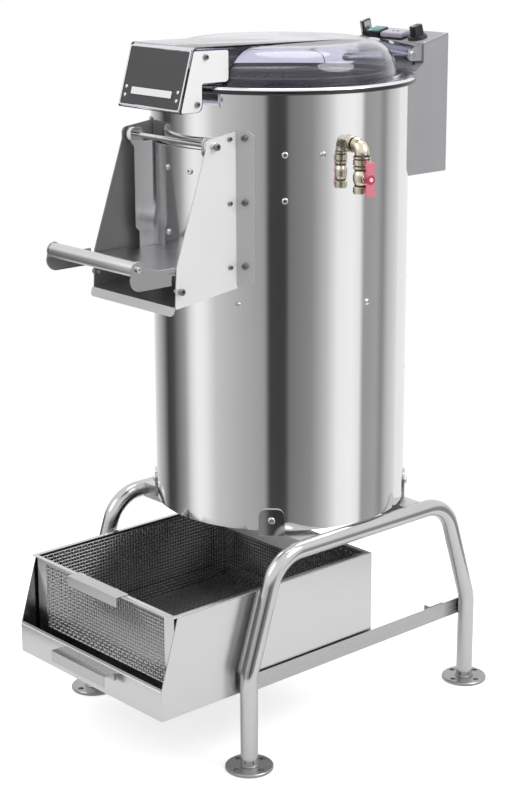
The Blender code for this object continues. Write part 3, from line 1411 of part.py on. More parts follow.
def on_nose(body):
    """Lays a body drawn in front of the plane y = 0, with z from 0 up, on the nose's front."""
    foot, up, _ = nose_frame()
    lean = math.atan2(up.y, up.z)
    return moved(turned(body, -lean, (1, 0, 0)), foot)


def cover_frame(name):
    """The bright frame round the nose's front, folded back along the cheeks."""
    _, _, length = nose_frame()
    half = RIDGE_HALF_W + GAP + COVER_FRAME_T / 2
    thick = COVER_FRAME_T
    border = COVER_FRAME_BORDER
    body = block((-half, -thick - GAP, 0), (half, -GAP, length))
    for side in HALVES:
        low, high = sorted((side * (RIDGE_HALF_W + GAP), side * half))
        body = join(body, block((low, -thick - GAP, 0), (high, COVER_FRAME_RETURN, length)))
    window = block((-half + border, -OVERRUN, border), (half - border, OVERRUN, length - border))
    place(on_nose(cut(body, window)), name, polished_steel(name), hinge_origin())


def cover_panel(name):
    """The dark plate inside the frame."""
    _, _, length = nose_frame()
    inset = COVER_FRAME_BORDER + GAP
    half = RIDGE_HALF_W + GAP + COVER_FRAME_T / 2 - inset
    body = block((-half, -COVER_PANEL_T - GAP, inset), (half, -GAP, length - inset))
    place(on_nose(body), name, dark_grey(name), hinge_origin())


def cover_strip(name):
    """The bare strip on the cover."""
    front = -COVER_PANEL_T - 2 * GAP
    body = block((-LABEL_HALF_W, front - LABEL_T, LABEL_RISE), (LABEL_HALF_W, front, LABEL_RISE + LABEL_H))
    place(on_nose(body), name, white_plastic(name), hinge_origin())


def hinge_ear_x():
    """Inner face of the hinge ears, beside the lid's ridge."""
    return RIDGE_HALF_W + HINGE_SIDE_GAP


def lid_hinge_bracket(name):
    """The folded bracket on the control box's face, with an ear at each side of the ridge."""
    z = RIM_TOP_Z + HINGE_RISE
    face = BOX_FACE_Y - GAP
    ear_x = hinge_ear_x()
    half = ear_x + HINGE_EAR_T
    foot = RIM_TOP_Z + BOX_NOTCH_RISE + HINGE_WEB_FOOT / 2
    body = block((-half, face - HINGE_EAR_T, foot), (half, face, foot + HINGE_WEB_H))
    outline = [(face - HINGE_EAR_T / 2, foot)]
    for i in range(ROUND_STEPS // 2 + 1):
        angle = -math.pi / 2 - math.pi * i / (ROUND_STEPS // 2)
        outline.append((HINGE_Y + HINGE_EAR_R * math.cos(angle), z + HINGE_EAR_R * math.sin(angle)))
    outline.append((face - HINGE_EAR_T / 2, foot + HINGE_WEB_H))
    for side in HALVES:
        low, high = sorted((side * ear_x, side * half))
        body = join(body, prism(outline, low, high, X_AXIS))
    hole = rod(HINGE_PIN_R + GAP, -half - OVERRUN, half + OVERRUN, (HINGE_Y, z))
    place(cut(body, hole), name, satin_steel(name))


def lid_hinge_pin(name):
    """The pin through both ears and the lid's cheeks."""
    spot = (HINGE_Y, RIM_TOP_Z + HINGE_RISE)
    reach = hinge_ear_x() + HINGE_EAR_T + GAP
    body = rod(HINGE_PIN_R, -reach - HINGE_PIN_HEAD_T / 2, reach + HINGE_PIN_HEAD_T / 2, spot)
    for side in HALVES:
        low, high = sorted((side * reach, side * (reach + HINGE_PIN_HEAD_T)))
        body = join(body, rod(HINGE_PIN_HEAD_R, low, high, spot))
    place(body, name, satin_steel(name))


# Control box

def control_box(name):
    """A folded housing with an open sloping top, notched at the hinge and hollowed."""
    base = RIM_TOP_Z
    foot = base - BOX_DROP
    back, face, notch = BOX_BACK_Y, BOX_FACE_Y, BOX_NOTCH_Y
    front = DRUM_R * math.cos(math.pi / 4)
    outer = prism([(front, foot), (back, foot), (back, base + BOX_BACK_RISE), (face, base + BOX_FACE_RISE),
                   (face, base + BOX_NOTCH_RISE), (notch, base - BOX_NOTCH_DROP), (front, base - BOX_NOTCH_DROP)],
                  -BOX_HALF_W, BOX_HALF_W, X_AXIS)
    wall = BOX_WALL
    front_in = DRUM_R + GAP + BOX_FRONT_WALL
    low = base - RIM_DROP - OVERRUN / 2
    slope = (BOX_BACK_RISE - BOX_FACE_RISE) / (back - face)
    up = OVERRUN
    inner = prism([(front_in, foot + wall), (back - wall, foot + wall),
                   (back - wall, base + BOX_BACK_RISE + up), (face + wall, base + BOX_FACE_RISE + up),
                   (face + wall, base + BOX_NOTCH_RISE - wall), (notch, base - BOX_NOTCH_DROP - wall * 2),
                   (notch, low), (front_in, low)],
                  -BOX_HALF_W + wall, BOX_HALF_W - wall, X_AXIS)
    rim_room = rod(RIM_R + GAP, base - RIM_DROP - GAP, base + up, (0, 0), Z_AXIS, ROOM_STEPS)
    drum_room = rod(DRUM_R + GAP, foot - up, base + up, (0, 0), Z_AXIS, ROOM_STEPS)
    place(cut(outer, inner, rim_room, drum_room), name, painted_grey(name))


def panel_frame():
    """The sloping panel's front edge point, its unit vector backwards and its length."""
    front = Vector((0, BOX_FACE_Y, RIM_TOP_Z + BOX_FACE_RISE + GAP))
    back = Vector((0, BOX_BACK_Y, RIM_TOP_Z + BOX_BACK_RISE + GAP))
    return front, (back - front).normalized(), (back - front).length


def on_panel(body, x=0, setback=0, height=0):
    """Lays a body drawn on the plane z = 0 on the panel's slope."""
    front, back, _ = panel_frame()
    slope = math.atan2(back.z, back.y)
    up = Vector((0, -back.z, back.y))
    return moved(turned(body, slope, (1, 0, 0)), front + back * setback + up * height + Vector((x, 0, 0)))


def panel_spot(x, setback, height=0):
    """The world point of a control on the panel."""
    front, back, _ = panel_frame()
    up = Vector((0, -back.z, back.y))
    return front + back * setback + up * height + Vector((x, 0, 0))


def control_panel(name):
    """The panel plate on the housing's open top."""
    _, _, length = panel_frame()
    body = block((-BOX_HALF_W, 0, 0), (BOX_HALF_W, length, PANEL_T))
    for x in (START_X, STOP_X):
        body = cut(body, rod(BUTTON_STEM_R + PIVOT_GAP, -OVERRUN, OVERRUN, (x, CONTROL_SETBACK), Z_AXIS))
    place(on_panel(body), name, painted_grey(name))


def selector_knob(name):
    """The rotary switch: round base and an upright lever."""
    base = revolve([(0, SELECTOR_BASE_H), (0, 0), (SELECTOR_BASE_R, 0), (SELECTOR_BASE_R, SELECTOR_BASE_H)])
    lever = block((-SELECTOR_LEVER_HALF_W, -SELECTOR_LEVER_LENGTH / 2, SELECTOR_BASE_H / 2),
                  (SELECTOR_LEVER_HALF_W, SELECTOR_LEVER_LENGTH / 2, SELECTOR_H))
    body = join(base, rounded(lever, BEVEL_SMALL))
    height = PANEL_T + GAP
    place(on_panel(body, SELECTOR_X, CONTROL_SETBACK, height), name, black_plastic(name),
          panel_spot(SELECTOR_X, CONTROL_SETBACK, height))


def push_button(name, x, half_w, height, material):
    """A rectangular push button that stands off the panel by its travel."""
    body = rounded(block((-half_w, -BUTTON_HALF_L, BUTTON_TRAVEL), (half_w, BUTTON_HALF_L, height)), BEVEL_SMALL)
    stem = rod(BUTTON_STEM_R, 0, BUTTON_TRAVEL + BEVEL_SMALL * 2, (0, 0), Z_AXIS, SMALL_STEPS)
    body = join(body, stem)
    rise = PANEL_T + GAP
    place(on_panel(body, x, CONTROL_SETBACK, rise), name, material,
          panel_spot(x, CONTROL_SETBACK, rise))


def timer_knob(name):
    """The timer's dial: a skirt with a tapering grip bar."""
    skirt = revolve([(0, TIMER_SKIRT_H), (0, 0), (TIMER_R, 0), (TIMER_R - BEVEL_SMALL, TIMER_SKIRT_H)])
    grip = revolve([(0, TIMER_H), (0, TIMER_SKIRT_H / 2), (TIMER_GRIP_R, TIMER_SKIRT_H / 2),
                    (TIMER_GRIP_R - BEVEL_SMALL, TIMER_H)], ROUND_STEPS)
    width = TIMER_GRIP_HALF_W
    for side in HALVES:
        low, high = sorted((side * width, side * (width + OVERRUN)))
        grip = cut(grip, block((low, -OVERRUN, TIMER_SKIRT_H + BEVEL_SMALL), (high, OVERRUN, TIMER_H + OVERRUN)))
    height = PANEL_T + GAP
    place(on_panel(join(skirt, grip), TIMER_X, CONTROL_SETBACK, height), name, black_plastic(name),
          panel_spot(TIMER_X, CONTROL_SETBACK, height))


# Water inlet

def at_inlet(body):
    """Turns a body drawn along +X to the inlet's azimuth."""
    return turned(body, INLET_AZIMUTH - math.pi / 2)


def inlet_elbow(name):
    """The nipple through the drum's wall, its collar and the elbow that turns down."""
    z = DRUM_FOOT_Z + INLET_RISE
    column = INLET_COLUMN_R
    body = rod(NIPPLE_R, DRUM_R - NIPPLE_REACH, column, (0, z))
    collar_x = DRUM_R + GAP
    body = join(body, rod(COLLAR_R, collar_x, collar_x + COLLAR_H, (0, z), X_AXIS, 6))
    knee = []
    steps = ROUND_STEPS // 2
    for i in range(steps // 2 + 1):
        turn = math.pi / 2 * i / (steps // 2)
        knee.append((ELBOW_R * math.cos(turn), z + ELBOW_R * math.sin(turn)))
    knee[-1] = (0, z + ELBOW_R)
    foot = z - ELBOW_DROP
    down = revolve([(0, foot), (COLLAR_R, foot), (COLLAR_R, foot + COLLAR_H), (ELBOW_R, foot + COLLAR_H)] + knee,
                   ROUND_STEPS, (column, 0))
    body = join(body, down)
    place(at_inlet(body), name, brass(name))


def valve_levels():
    """Top, middle and foot of the valve's body."""
    top = DRUM_FOOT_Z + INLET_RISE - ELBOW_DROP - GAP
    return top, top - VALVE_LENGTH / 2, top - VALVE_LENGTH


def valve_body(name):
    """The ball valve: ringed body, stem boss and an open hose end."""
    top, middle, foot = valve_levels()
    ring = VALVE_RING_H
    neck = ring + VALVE_TAPER
    shoulder = neck + VALVE_NECK_H
    ball = shoulder + VALVE_SHOULDER
    half = [(COLLAR_R, ring), (VALVE_WAIST_R, neck), (VALVE_WAIST_R, shoulder), (VALVE_BALL_R, ball)]
    profile = [(0, foot), (COLLAR_R - BEVEL_SMALL, foot)] + [(r, foot + rise) for r, rise in half]
    profile += [(r, top - drop) for r, drop in reversed(half)] + [(COLLAR_R, top), (0, top)]
    body = revolve(profile, ROUND_STEPS, (INLET_COLUMN_R, 0))
    body = join(body, rod(BOSS_R, INLET_COLUMN_R, INLET_COLUMN_R + BOSS_REACH, (0, middle)))
    bore = rod(VALVE_BORE_R, foot - OVERRUN, foot + VALVE_BORE_DEPTH, (INLET_COLUMN_R, 0), Z_AXIS)
    place(at_inlet(cut(body, bore)), name, brass(name))


def valve_handle(name):
    """The butterfly handle: two rounded wings about a hub."""
    middle = valve_levels()[1]
    face = INLET_COLUMN_R + BOSS_REACH + GAP
    span, wide, waist = WING_SPAN, WING_HALF_W, WING_WAIST_HALF_W
    outline = fillet([(-wide, -span), (wide, -span), (waist, 0), (wide, span), (-wide, span), (-waist, 0)],
                     [wide / 2, wide / 2, waist, wide / 2, wide / 2, waist])
    wings_x = face + WING_SETBACK
    wings = prism([(y, z + middle) for y, z in outline], wings_x, wings_x + WING_T, X_AXIS)
    hub = rod(VALVE_HUB_R, face, face + VALVE_HUB_H, (0, middle))
    origin = ring_point(face, INLET_AZIMUTH, middle)
    place(at_inlet(join(wings, hub)), name, red_paint(name), origin)


def machine_offset():
    """Where the drum's axis stands when the origin is under the middle of the whole machine."""
    right = INLET_COLUMN_R + BOSS_REACH + GAP + VALVE_HUB_H
    handle = ring_point(right, INLET_AZIMUTH)
    hub_edge = handle.x + VALVE_HUB_R * math.sin(math.pi / 2 - INLET_AZIMUTH)
    left = LEG_X + FLANGE_R
    front = -TRAY_FRONT_Y + GAP + TRAY_HANDLE_REACH
    return ((left - hub_edge) / 2, (front - BOX_BACK_Y) / 2, 0)


def build_stand():
    """Frames, flanges, cross members and tray rails."""
    for word, side in SIDES:
        leg_frame("leg_frame_" + word, side)
        foot_flange("foot_flange_front_" + word, side * LEG_X, -LEG_Y)
        foot_flange("foot_flange_rear_" + word, side * LEG_X, LEG_Y)
        rail("rail_" + word, side)
        rail_stop("rail_stop_" + word, side)
    cross_member("cross_member_front", -1)
    cross_member("cross_member_rear", 1)


def build_tray():
    """Catch tray and pulp basket."""
    catch_tray("catch_tray")
    tray_handle("tray_handle")
    basket_body("basket_body")
    basket_mesh("basket_mesh")
    basket_handle("basket_handle")


def build_drum():
    """Drum, peeling chamber and drive."""
    drum_shell("drum_shell")
    top_rim("top_rim")
    base_plate("base_plate")
    chamber_floor("chamber_floor")
    abrasive_liner("abrasive_liner")
    abrasive_disc("abrasive_disc")
    main_shaft("main_shaft")
    bearing_housing("bearing_housing")
    housing_foot = drive_levels()[0]
    bearing("bearing_lower", housing_foot + BEARING_LAND)
    bearing("bearing_upper", FLOOR_UNDER_Z - GAP - BEARING_LAND - BEARING_H)
    driven_pulley("driven_pulley")
    motor_pulley("motor_pulley")
    drive_belt("drive_belt")
    motor("motor")
    motor_mount("motor_mount")
    drain_pipe("drain_pipe")
    service_cover("service_cover")


def build_chute():
    """Discharge chute, door and handle."""
    for word, side in SIDES:
        chute_plate("chute_plate_" + word, side)
        hinge_bush("hinge_bush_" + word, side)
    chute_floor("chute_floor")
    door_hinge_rod("door_hinge_rod")
    discharge_door("discharge_door")
    door_seal("door_seal")
    handle_bracket("door_handle_bracket")
    handle_grip("door_handle_grip")


def build_lid():
    """Lid with its nose cover, and its hinge."""
    lid_dome("lid_dome")
    cover_frame("nose_cover_frame")
    cover_panel("nose_cover_panel")
    cover_strip("nose_cover_strip")
    lid_hinge_bracket("lid_hinge_bracket")
    lid_hinge_pin("lid_hinge_pin")


def build_controls():
    """Control box, panel and controls."""
    control_box("control_box")
    control_panel("control_panel")
    selector_knob("selector_knob")
    push_button("start_button", START_X, START_HALF_W, BUTTON_H, teal_plastic("start_button"))
    push_button("stop_button", STOP_X, STOP_HALF_W, STOP_H, pale_plastic("stop_button"))
    timer_knob("timer_knob")


def build_inlet():
    """Water elbow, valve and handle."""
    inlet_elbow("inlet_elbow")
    valve_body("valve_body")
    valve_handle("valve_handle")


clear_scene()
machine = bpy.data.objects.new("machine", None)
bpy.context.scene.collection.objects.link(machine)
machine.location = machine_offset()
build_stand()
build_tray()
build_drum()
build_chute()
build_lid()
build_controls()
build_inlet()
bpy.context.view_layer.update()
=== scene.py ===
"""Dressed model of a potato peeling machine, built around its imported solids.

Sizes are in metres in the machine's own frame: the drum's axis is x = y = 0, the front is -Y,
the water valve is on +X and the floor is z = 0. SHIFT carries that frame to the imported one.
"""
import logging
import math
from dataclasses import dataclass, field
from enum import Enum
from typing import Callable, Optional, Sequence

import bmesh
import bpy
from mathutils import Matrix, Vector


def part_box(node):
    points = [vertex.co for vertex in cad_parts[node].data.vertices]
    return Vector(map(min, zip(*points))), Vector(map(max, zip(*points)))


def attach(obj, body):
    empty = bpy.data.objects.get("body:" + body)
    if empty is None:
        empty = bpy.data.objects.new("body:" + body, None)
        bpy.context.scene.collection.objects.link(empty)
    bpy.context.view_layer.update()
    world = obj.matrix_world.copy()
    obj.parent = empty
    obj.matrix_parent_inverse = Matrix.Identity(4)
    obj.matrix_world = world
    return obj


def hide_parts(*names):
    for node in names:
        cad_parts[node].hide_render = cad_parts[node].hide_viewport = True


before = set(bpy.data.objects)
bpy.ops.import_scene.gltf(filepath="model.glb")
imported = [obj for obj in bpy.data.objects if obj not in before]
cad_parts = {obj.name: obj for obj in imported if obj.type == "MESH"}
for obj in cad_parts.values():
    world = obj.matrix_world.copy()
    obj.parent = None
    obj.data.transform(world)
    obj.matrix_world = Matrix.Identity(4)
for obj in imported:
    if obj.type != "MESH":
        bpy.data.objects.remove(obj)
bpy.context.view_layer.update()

DRUM_LOW, DRUM_HIGH = (Vector(corner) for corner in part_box("drum_shell"))
SHIFT = Vector(((DRUM_LOW.x + DRUM_HIGH.x) / 2, (DRUM_LOW.y + DRUM_HIGH.y) / 2, 0))
GAP = 0.0003
WELD = 0.00001
LOG = logging.getLogger("peeler")

Outline = list[tuple[float, float]]
Colour = tuple[float, float, float]
HALVES = (-1, 1)


class Axis(Enum):
    """The direction a plate is thick in, or a bar runs along."""

    X = "x"
    Y = "y"
    Z = "z"


class Grain(Enum):
    """Where the fine lines of a rolled or brushed sheet run, as the noise's stretch."""

    LEVEL = (14.0, 14.0, 1300.0)
    ALONG_X = (14.0, 900.0, 900.0)
    ALONG_Y = (900.0, 14.0, 900.0)
    UPRIGHT = (900.0, 900.0, 14.0)
    NONE = (420.0, 420.0, 420.0)


class Head(Enum):
    """Kinds of screw and bolt head."""

    DOME = "dome"
    SOCKET = "socket"
    HEX = "hex"
    RIVET = "rivet"


# Finishes

class NodeDesk:
    """Adds and joins the nodes of one material."""

    def __init__(self, name: str) -> None:
        """Starts a material with one Principled shader."""
        self.material = bpy.data.materials.new(name)
        self.material.use_nodes = True
        self.tree = self.material.node_tree
        self.shader = self.tree.nodes["Principled BSDF"]

    def node(self, kind: str, **settings: object) -> bpy.types.Node:
        """Adds a node.

        Args:
            kind: The node's type name.
            settings: Properties to set on it.

        Returns:
            The new node.
        """
        made = self.tree.nodes.new(kind)
        for word, value in settings.items():
            setattr(made, word, value)
        return made

    def join(self, source: bpy.types.NodeSocket, target: bpy.types.NodeSocket) -> None:
        """Links an output to an input."""
        self.tree.links.new(source, target)

    def constant(self, socket: str, value: object) -> None:
        """Sets one of the shader's own sockets."""
        self.shader.inputs[socket].default_value = value

    def noise(self, stretch: Sequence[float], detail: float = 3.0, rough: float = 0.55) -> bpy.types.NodeSocket:
        """Adds a noise in the piece's own space.

        Args:
            stretch: How often it repeats per metre along each axis.
            detail: Number of octaves.
            rough: Weight of the finer octaves.

        Returns:
            Its 0 to 1 output.
        """
        place = self.node("ShaderNodeTexCoord")
        scale = self.node("ShaderNodeMapping")
        scale.inputs["Scale"].default_value = tuple(stretch)
        noise = self.node("ShaderNodeTexNoise")
        noise.inputs["Scale"].default_value = 1.0
        noise.inputs["Detail"].default_value = detail
        noise.inputs["Roughness"].default_value = rough
        self.join(place.outputs["Object"], scale.inputs["Vector"])
        self.join(scale.outputs["Vector"], noise.inputs["Vector"])
        return noise.outputs["Fac"]

    def cells(self, stretch: Sequence[float]) -> bpy.types.NodeSocket:
        """Adds a cell pattern in the piece's own space.

        Args:
            stretch: Cells per metre along each axis.

        Returns:
            The distance to the nearest cell's middle.
        """
        place = self.node("ShaderNodeTexCoord")
        scale = self.node("ShaderNodeMapping")
        scale.inputs["Scale"].default_value = tuple(stretch)
        cells = self.node("ShaderNodeTexVoronoi")
        cells.inputs["Scale"].default_value = 1.0
        self.join(place.outputs["Object"], scale.inputs["Vector"])
        self.join(scale.outputs["Vector"], cells.inputs["Vector"])
        return cells.outputs["Distance"]

    def spread(self, source: bpy.types.NodeSocket, low: float, high: float,
               start: float = 0.3, end: float = 0.7) -> bpy.types.NodeSocket:
        """Maps a pattern to a range of values.

        Args:
            source: The pattern.
            low: Value at start.
            high: Value at end.
            start: Pattern level that gives low.
            end: Pattern level that gives high.

        Returns:
            The mapped value.
        """
        span = self.node("ShaderNodeMapRange", clamp=True)
        for socket, value in (("From Min", start), ("From Max", end), ("To Min", low), ("To Max", high)):
            span.inputs[socket].default_value = value
        self.join(source, span.inputs["Value"])
        return span.outputs["Result"]

    def blend(self, factor: bpy.types.NodeSocket, first: Colour, second: Colour) -> bpy.types.NodeSocket:
        """Mixes two colours by a pattern.

        Args:
            factor: The pattern, 0 for the first colour and 1 for the second.
            first: Linear colour.
            second: Linear colour.

        Returns:
            The mixed colour.
        """
        mix = self.node("ShaderNodeMix", data_type="RGBA")
        mix.inputs["A"].default_value = (*first, 1)
        mix.inputs["B"].default_value = (*second, 1)
        self.join(factor, mix.inputs["Factor"])
        return mix.outputs["Result"]

    def bump(self, height: bpy.types.NodeSocket, strength: float, distance: float) -> None:
        """Raises the surface by a pattern.

        Args:
            height: The pattern.
            strength: How much of it shows.
            distance: Height of a full step, in metres.
        """
        bump = self.node("ShaderNodeBump")
        bump.inputs["Strength"].default_value = strength
        bump.inputs["Distance"].default_value = distance
        self.join(height, bump.inputs["Height"])
        self.join(bump.outputs["Normal"], self.shader.inputs["Normal"])


def scaled(colour: Colour, share: float) -> Colour:
    """A colour made lighter or darker by a share."""
    return tuple(min(part * share, 1.0) for part in colour)


@dataclass(frozen=True)
class Finish:
    """What a surface is made of; each kind paints its own nodes."""

    name: str
    slot: str
    colour: Colour
    roughness: float
    spread: float = 0.03
    depth: float = 0.0001

    def material(self) -> bpy.types.Material:
        """Gives the finish's material and makes it when it is first asked for.

        Returns:
            The material.
        """
        ready = bpy.data.materials.get(self.name)
        if ready:
            return ready
        desk = NodeDesk(self.name)
        self.paint(desk)
        return desk.material

    def paint(self, desk: NodeDesk) -> None:
        """Sets up the nodes of this kind of finish."""
        raise NotImplementedError


@dataclass(frozen=True)
class SheetMetal(Finish):
    """Rolled or brushed metal with fine grain lines and cloudy handling marks."""

    grain: Grain = Grain.LEVEL
    line_strength: float = 0.12
    cloud: float = 7.0
    tone: float = 0.93
    metal: float = 1.0

    def paint(self, desk: NodeDesk) -> None:
        """Grain in the bump and roughness, clouds in the colour.

        Args:
            desk: The material's nodes.
        """
        desk.constant("Metallic", self.metal)
        lines = desk.noise(self.grain.value, 2.0)
        clouds = desk.noise((self.cloud,) * 3, 4.0)
        tint = desk.blend(desk.spread(clouds, 0, 1), scaled(self.colour, self.tone), self.colour)
        desk.join(self.shade(desk, tint), desk.shader.inputs["Base Color"])
        both = desk.node("ShaderNodeMath", operation="ADD")
        desk.join(desk.spread(lines, 0, self.spread), both.inputs[0])
        desk.join(desk.spread(clouds, self.roughness - self.spread / 2, self.roughness + self.spread / 2),
                  both.inputs[1])
        desk.join(both.outputs["Value"], desk.shader.inputs["Roughness"])
        desk.bump(lines, self.line_strength, self.depth)

    def shade(self, desk: NodeDesk, tint: bpy.types.NodeSocket) -> bpy.types.NodeSocket:
        """The colour as it is used; plain sheets change nothing."""
        return tint


@dataclass(frozen=True)
class FoldedSheet(SheetMetal):
    """Sheet across X with a folded flange, whose darker reflection is painted into its colour."""

    # Share of the colour kept on the flange: painted reflection.
    flange_shade: float = 0.6

    def shade(self, desk: NodeDesk, tint: bpy.types.NodeSocket) -> bpy.types.NodeSocket:
        """Paints a darker reflection into the faces that don't look along X.

        Args:
            desk: The material's nodes.
            tint: The sheet's colour.

        Returns:
            The colour with the painted reflection on its flange.
        """
        # Painted reflection: faces whose object-space normal turns away from X are darkened.
        place = desk.node("ShaderNodeTexCoord")
        split = desk.node("ShaderNodeSeparateXYZ")
        desk.join(place.outputs["Normal"], split.inputs["Vector"])
        size = desk.node("ShaderNodeMath", operation="ABSOLUTE")
        desk.join(split.outputs["X"], size.inputs[0])
        mix = desk.node("ShaderNodeMix", data_type="RGBA", blend_type="MULTIPLY")
        mix.inputs["Factor"].default_value = 1.0
        desk.join(tint, mix.inputs["A"])
        desk.join(desk.spread(size.outputs["Value"], self.flange_shade, 1, 0.75, 0.95), mix.inputs["B"])
        return mix.outputs["Result"]


@dataclass(frozen=True)
class TubSheet(SheetMetal):
    """Sheet of an open tub, with painted shade on the faces that look into it."""

    middle: Colour = (0.0, 0.0, 0.0)
    painted_shade_share: float = 0.3

    def shade(self, desk: NodeDesk, tint: bpy.types.NodeSocket) -> bpy.types.NodeSocket:
        """Paints shade into the colour where a face looks towards the tub's middle.

        Args:
            desk: The material's nodes.
            tint: The sheet's colour.

        Returns:
            The colour with painted shade inside.
        """
        place = desk.node("ShaderNodeTexCoord")
        away = desk.node("ShaderNodeVectorMath", operation="SUBTRACT")
        away.inputs[1].default_value = self.middle
        desk.join(place.outputs["Object"], away.inputs[0])
        looks = desk.node("ShaderNodeVectorMath", operation="DOT_PRODUCT")
        desk.join(away.outputs["Vector"], looks.inputs[0])
        desk.join(place.outputs["Normal"], looks.inputs[1])
        # Painted shade: faces that look towards the tub's middle are darkened by the share.
        outside = desk.spread(looks.outputs["Value"], self.painted_shade_share, 1, -0.002, 0.002)
        mix = desk.node("ShaderNodeMix", data_type="RGBA", blend_type="MULTIPLY")
        mix.inputs["Factor"].default_value = 1.0
        desk.join(tint, mix.inputs["A"])
        desk.join(outside, mix.inputs["B"])
        return mix.outputs["Result"]


@dataclass(frozen=True)
class CastMetal(Finish):
    """Cast or turned metal with a pebbled skin and darker stains."""

    pebble: float = 700.0
    strength: float = 0.4
    dark_share: float = 0.72

    def paint(self, desk: NodeDesk) -> None:
        """Pebbles in the bump, stains in the colour.

        Args:
            desk: The material's nodes.
        """
        desk.constant("Metallic", 1.0)
        pebbles = desk.noise((self.pebble,) * 3, 3.0)
        stains = desk.noise((55.0,) * 3, 4.0)
        desk.join(desk.blend(desk.spread(stains, 0, 1), scaled(self.colour, self.dark_share), self.colour),
                  desk.shader.inputs["Base Color"])
        desk.join(desk.spread(stains, self.roughness + self.spread, self.roughness - self.spread),
                  desk.shader.inputs["Roughness"])
        desk.bump(pebbles, self.strength, self.depth)


@dataclass(frozen=True)
class Coating(Finish):
    """Paint, powder coat or moulded plastic: a fine skin texture and faint dust."""

    skin: float = 1400.0
    strength: float = 0.25
    tone: float = 0.9
    gloss: float = 0.0

    def paint(self, desk: NodeDesk) -> None:
        """Skin in the bump, dust in the colour and roughness.

        Args:
            desk: The material's nodes.
        """
        skin = desk.noise((self.skin,) * 3, 2.0)
        dust = desk.noise((18.0,) * 3, 5.0)
        desk.join(desk.blend(desk.spread(dust, 0, 1), scaled(self.colour, self.tone), self.colour),
                  desk.shader.inputs["Base Color"])
        desk.join(desk.spread(dust, self.roughness - self.spread, self.roughness + self.spread),
                  desk.shader.inputs["Roughness"])
        desk.constant("Coat Weight", self.gloss)
        desk.constant("Coat Roughness", 0.08)
        desk.bump(skin, self.strength, self.depth)


@dataclass(frozen=True)
class ClearPlastic(Finish):
    """Clear tinted moulding with slow waves in its surface."""

    bend: float = 1.49

    def paint(self, desk: NodeDesk) -> None:
        """Clear body, faint haze and flow waves.

        Args:
            desk: The material's nodes.
        """
        desk.constant("Transmission Weight", 1.0)
        desk.constant("IOR", self.bend)
        haze = desk.noise((22.0,) * 3, 4.0)
        waves = desk.noise((9.0, 9.0, 9.0), 1.0)
        desk.join(desk.blend(desk.spread(haze, 0, 1), scaled(self.colour, 0.97), self.colour),
                  desk.shader.inputs["Base Color"])
        desk.join(desk.spread(haze, self.roughness, self.roughness + self.spread),
                  desk.shader.inputs["Roughness"])
        desk.bump(waves, 0.3, self.depth)


@dataclass(frozen=True)
class Grit(Finish):
    """Abrasive grains bonded to a surface."""

    grain: float = 380.0

    def paint(self, desk: NodeDesk) -> None:
        """Grain cells in colour and height.

        Args:
            desk: The material's nodes.
        """
        cells = desk.cells((self.grain,) * 3)
        patches = desk.noise((30.0,) * 3, 4.0)
        desk.join(desk.blend(desk.spread(cells, 1, 0, 0.1, 0.7), scaled(self.colour, 0.45), self.colour),
                  desk.shader.inputs["Base Color"])
        desk.join(desk.spread(patches, self.roughness - self.spread, self.roughness + self.spread),
                  desk.shader.inputs["Roughness"])
        desk.bump(cells, 0.9, self.depth)


POLISHED = SheetMetal("polished_sheet", "drum_steel", (0.86, 0.86, 0.87), 0.085, 0.03, 0.00004,
                      Grain.LEVEL, 0.05, 5.0, 0.97)
TAB_STEEL = SheetMetal("tab_sheet", "drum_steel", (0.46, 0.46, 0.465), 0.10, 0.03, 0.00004,
                       Grain.LEVEL, 0.05, 5.0, 0.97)
RIM_STEEL = SheetMetal("rim_sheet", "drum_steel", (0.88, 0.88, 0.89), 0.10, 0.04, 0.00005, Grain.NONE, 0.05)
# Near-black steel for a band on the rim's lower face: painted shade.
RIM_SHADE_BAND = SheetMetal("rim_painted_shade", "drum_steel", (0.085, 0.085, 0.09), 0.30, 0.04, 0.00005,
                       Grain.NONE, 0.05)
CHUTE_STEEL = FoldedSheet("chute_sheet", "chute_steel", (0.90, 0.90, 0.905), 0.38, 0.04, 0.00004,
                          Grain.UPRIGHT, 0.03, 5.0, 0.97, 0.45, 0.62)
# A darker copy of the chute's steel: painted shade, as on the left plate inside the chute.
CHUTE_STEEL_SHADED = SheetMetal("chute_sheet_shaded", "chute_steel", (0.36, 0.36, 0.365), 0.34, 0.05, 0.00005,
                        Grain.UPRIGHT, 0.05, 9.0, 0.85, 0.6)
DOOR_STEEL = SheetMetal("door_sheet", "chute_steel", (0.84, 0.84, 0.85), 0.11, 0.03, 0.00004,
                        Grain.LEVEL, 0.05)
FLOOR_STEEL = SheetMetal("chute_floor_sheet", "chute_steel", (0.70, 0.70, 0.71), 0.34, 0.04, 0.00005,
                         Grain.ALONG_X, 0.04)
SATIN = SheetMetal("satin_plate", "satin_steel", (0.66, 0.66, 0.67), 0.30, 0.04, 0.00006, Grain.ALONG_X, 0.05)
ARM_STEEL = SheetMetal("arm_plate", "satin_steel", (0.50, 0.50, 0.51), 0.30, 0.04, 0.00006,
                       Grain.ALONG_Y, 0.05)
TUBE_STEEL = SheetMetal("tube_satin", "stand_steel", (0.60, 0.60, 0.605), 0.14, 0.03, 0.00004,
                        Grain.NONE, 0.03, 9.0, 0.95)
FLANGE_STEEL = SheetMetal("flange_plate", "stand_steel", (0.42, 0.42, 0.43), 0.28, 0.05, 0.00005,
                          Grain.NONE, 0.05, 30.0, 0.80)
TRAY_STEEL = SheetMetal("tray_sheet", "tray_steel", (0.66, 0.66, 0.665), 0.22, 0.03, 0.00004,
                        Grain.ALONG_Y, 0.02, 4.0, 0.97)
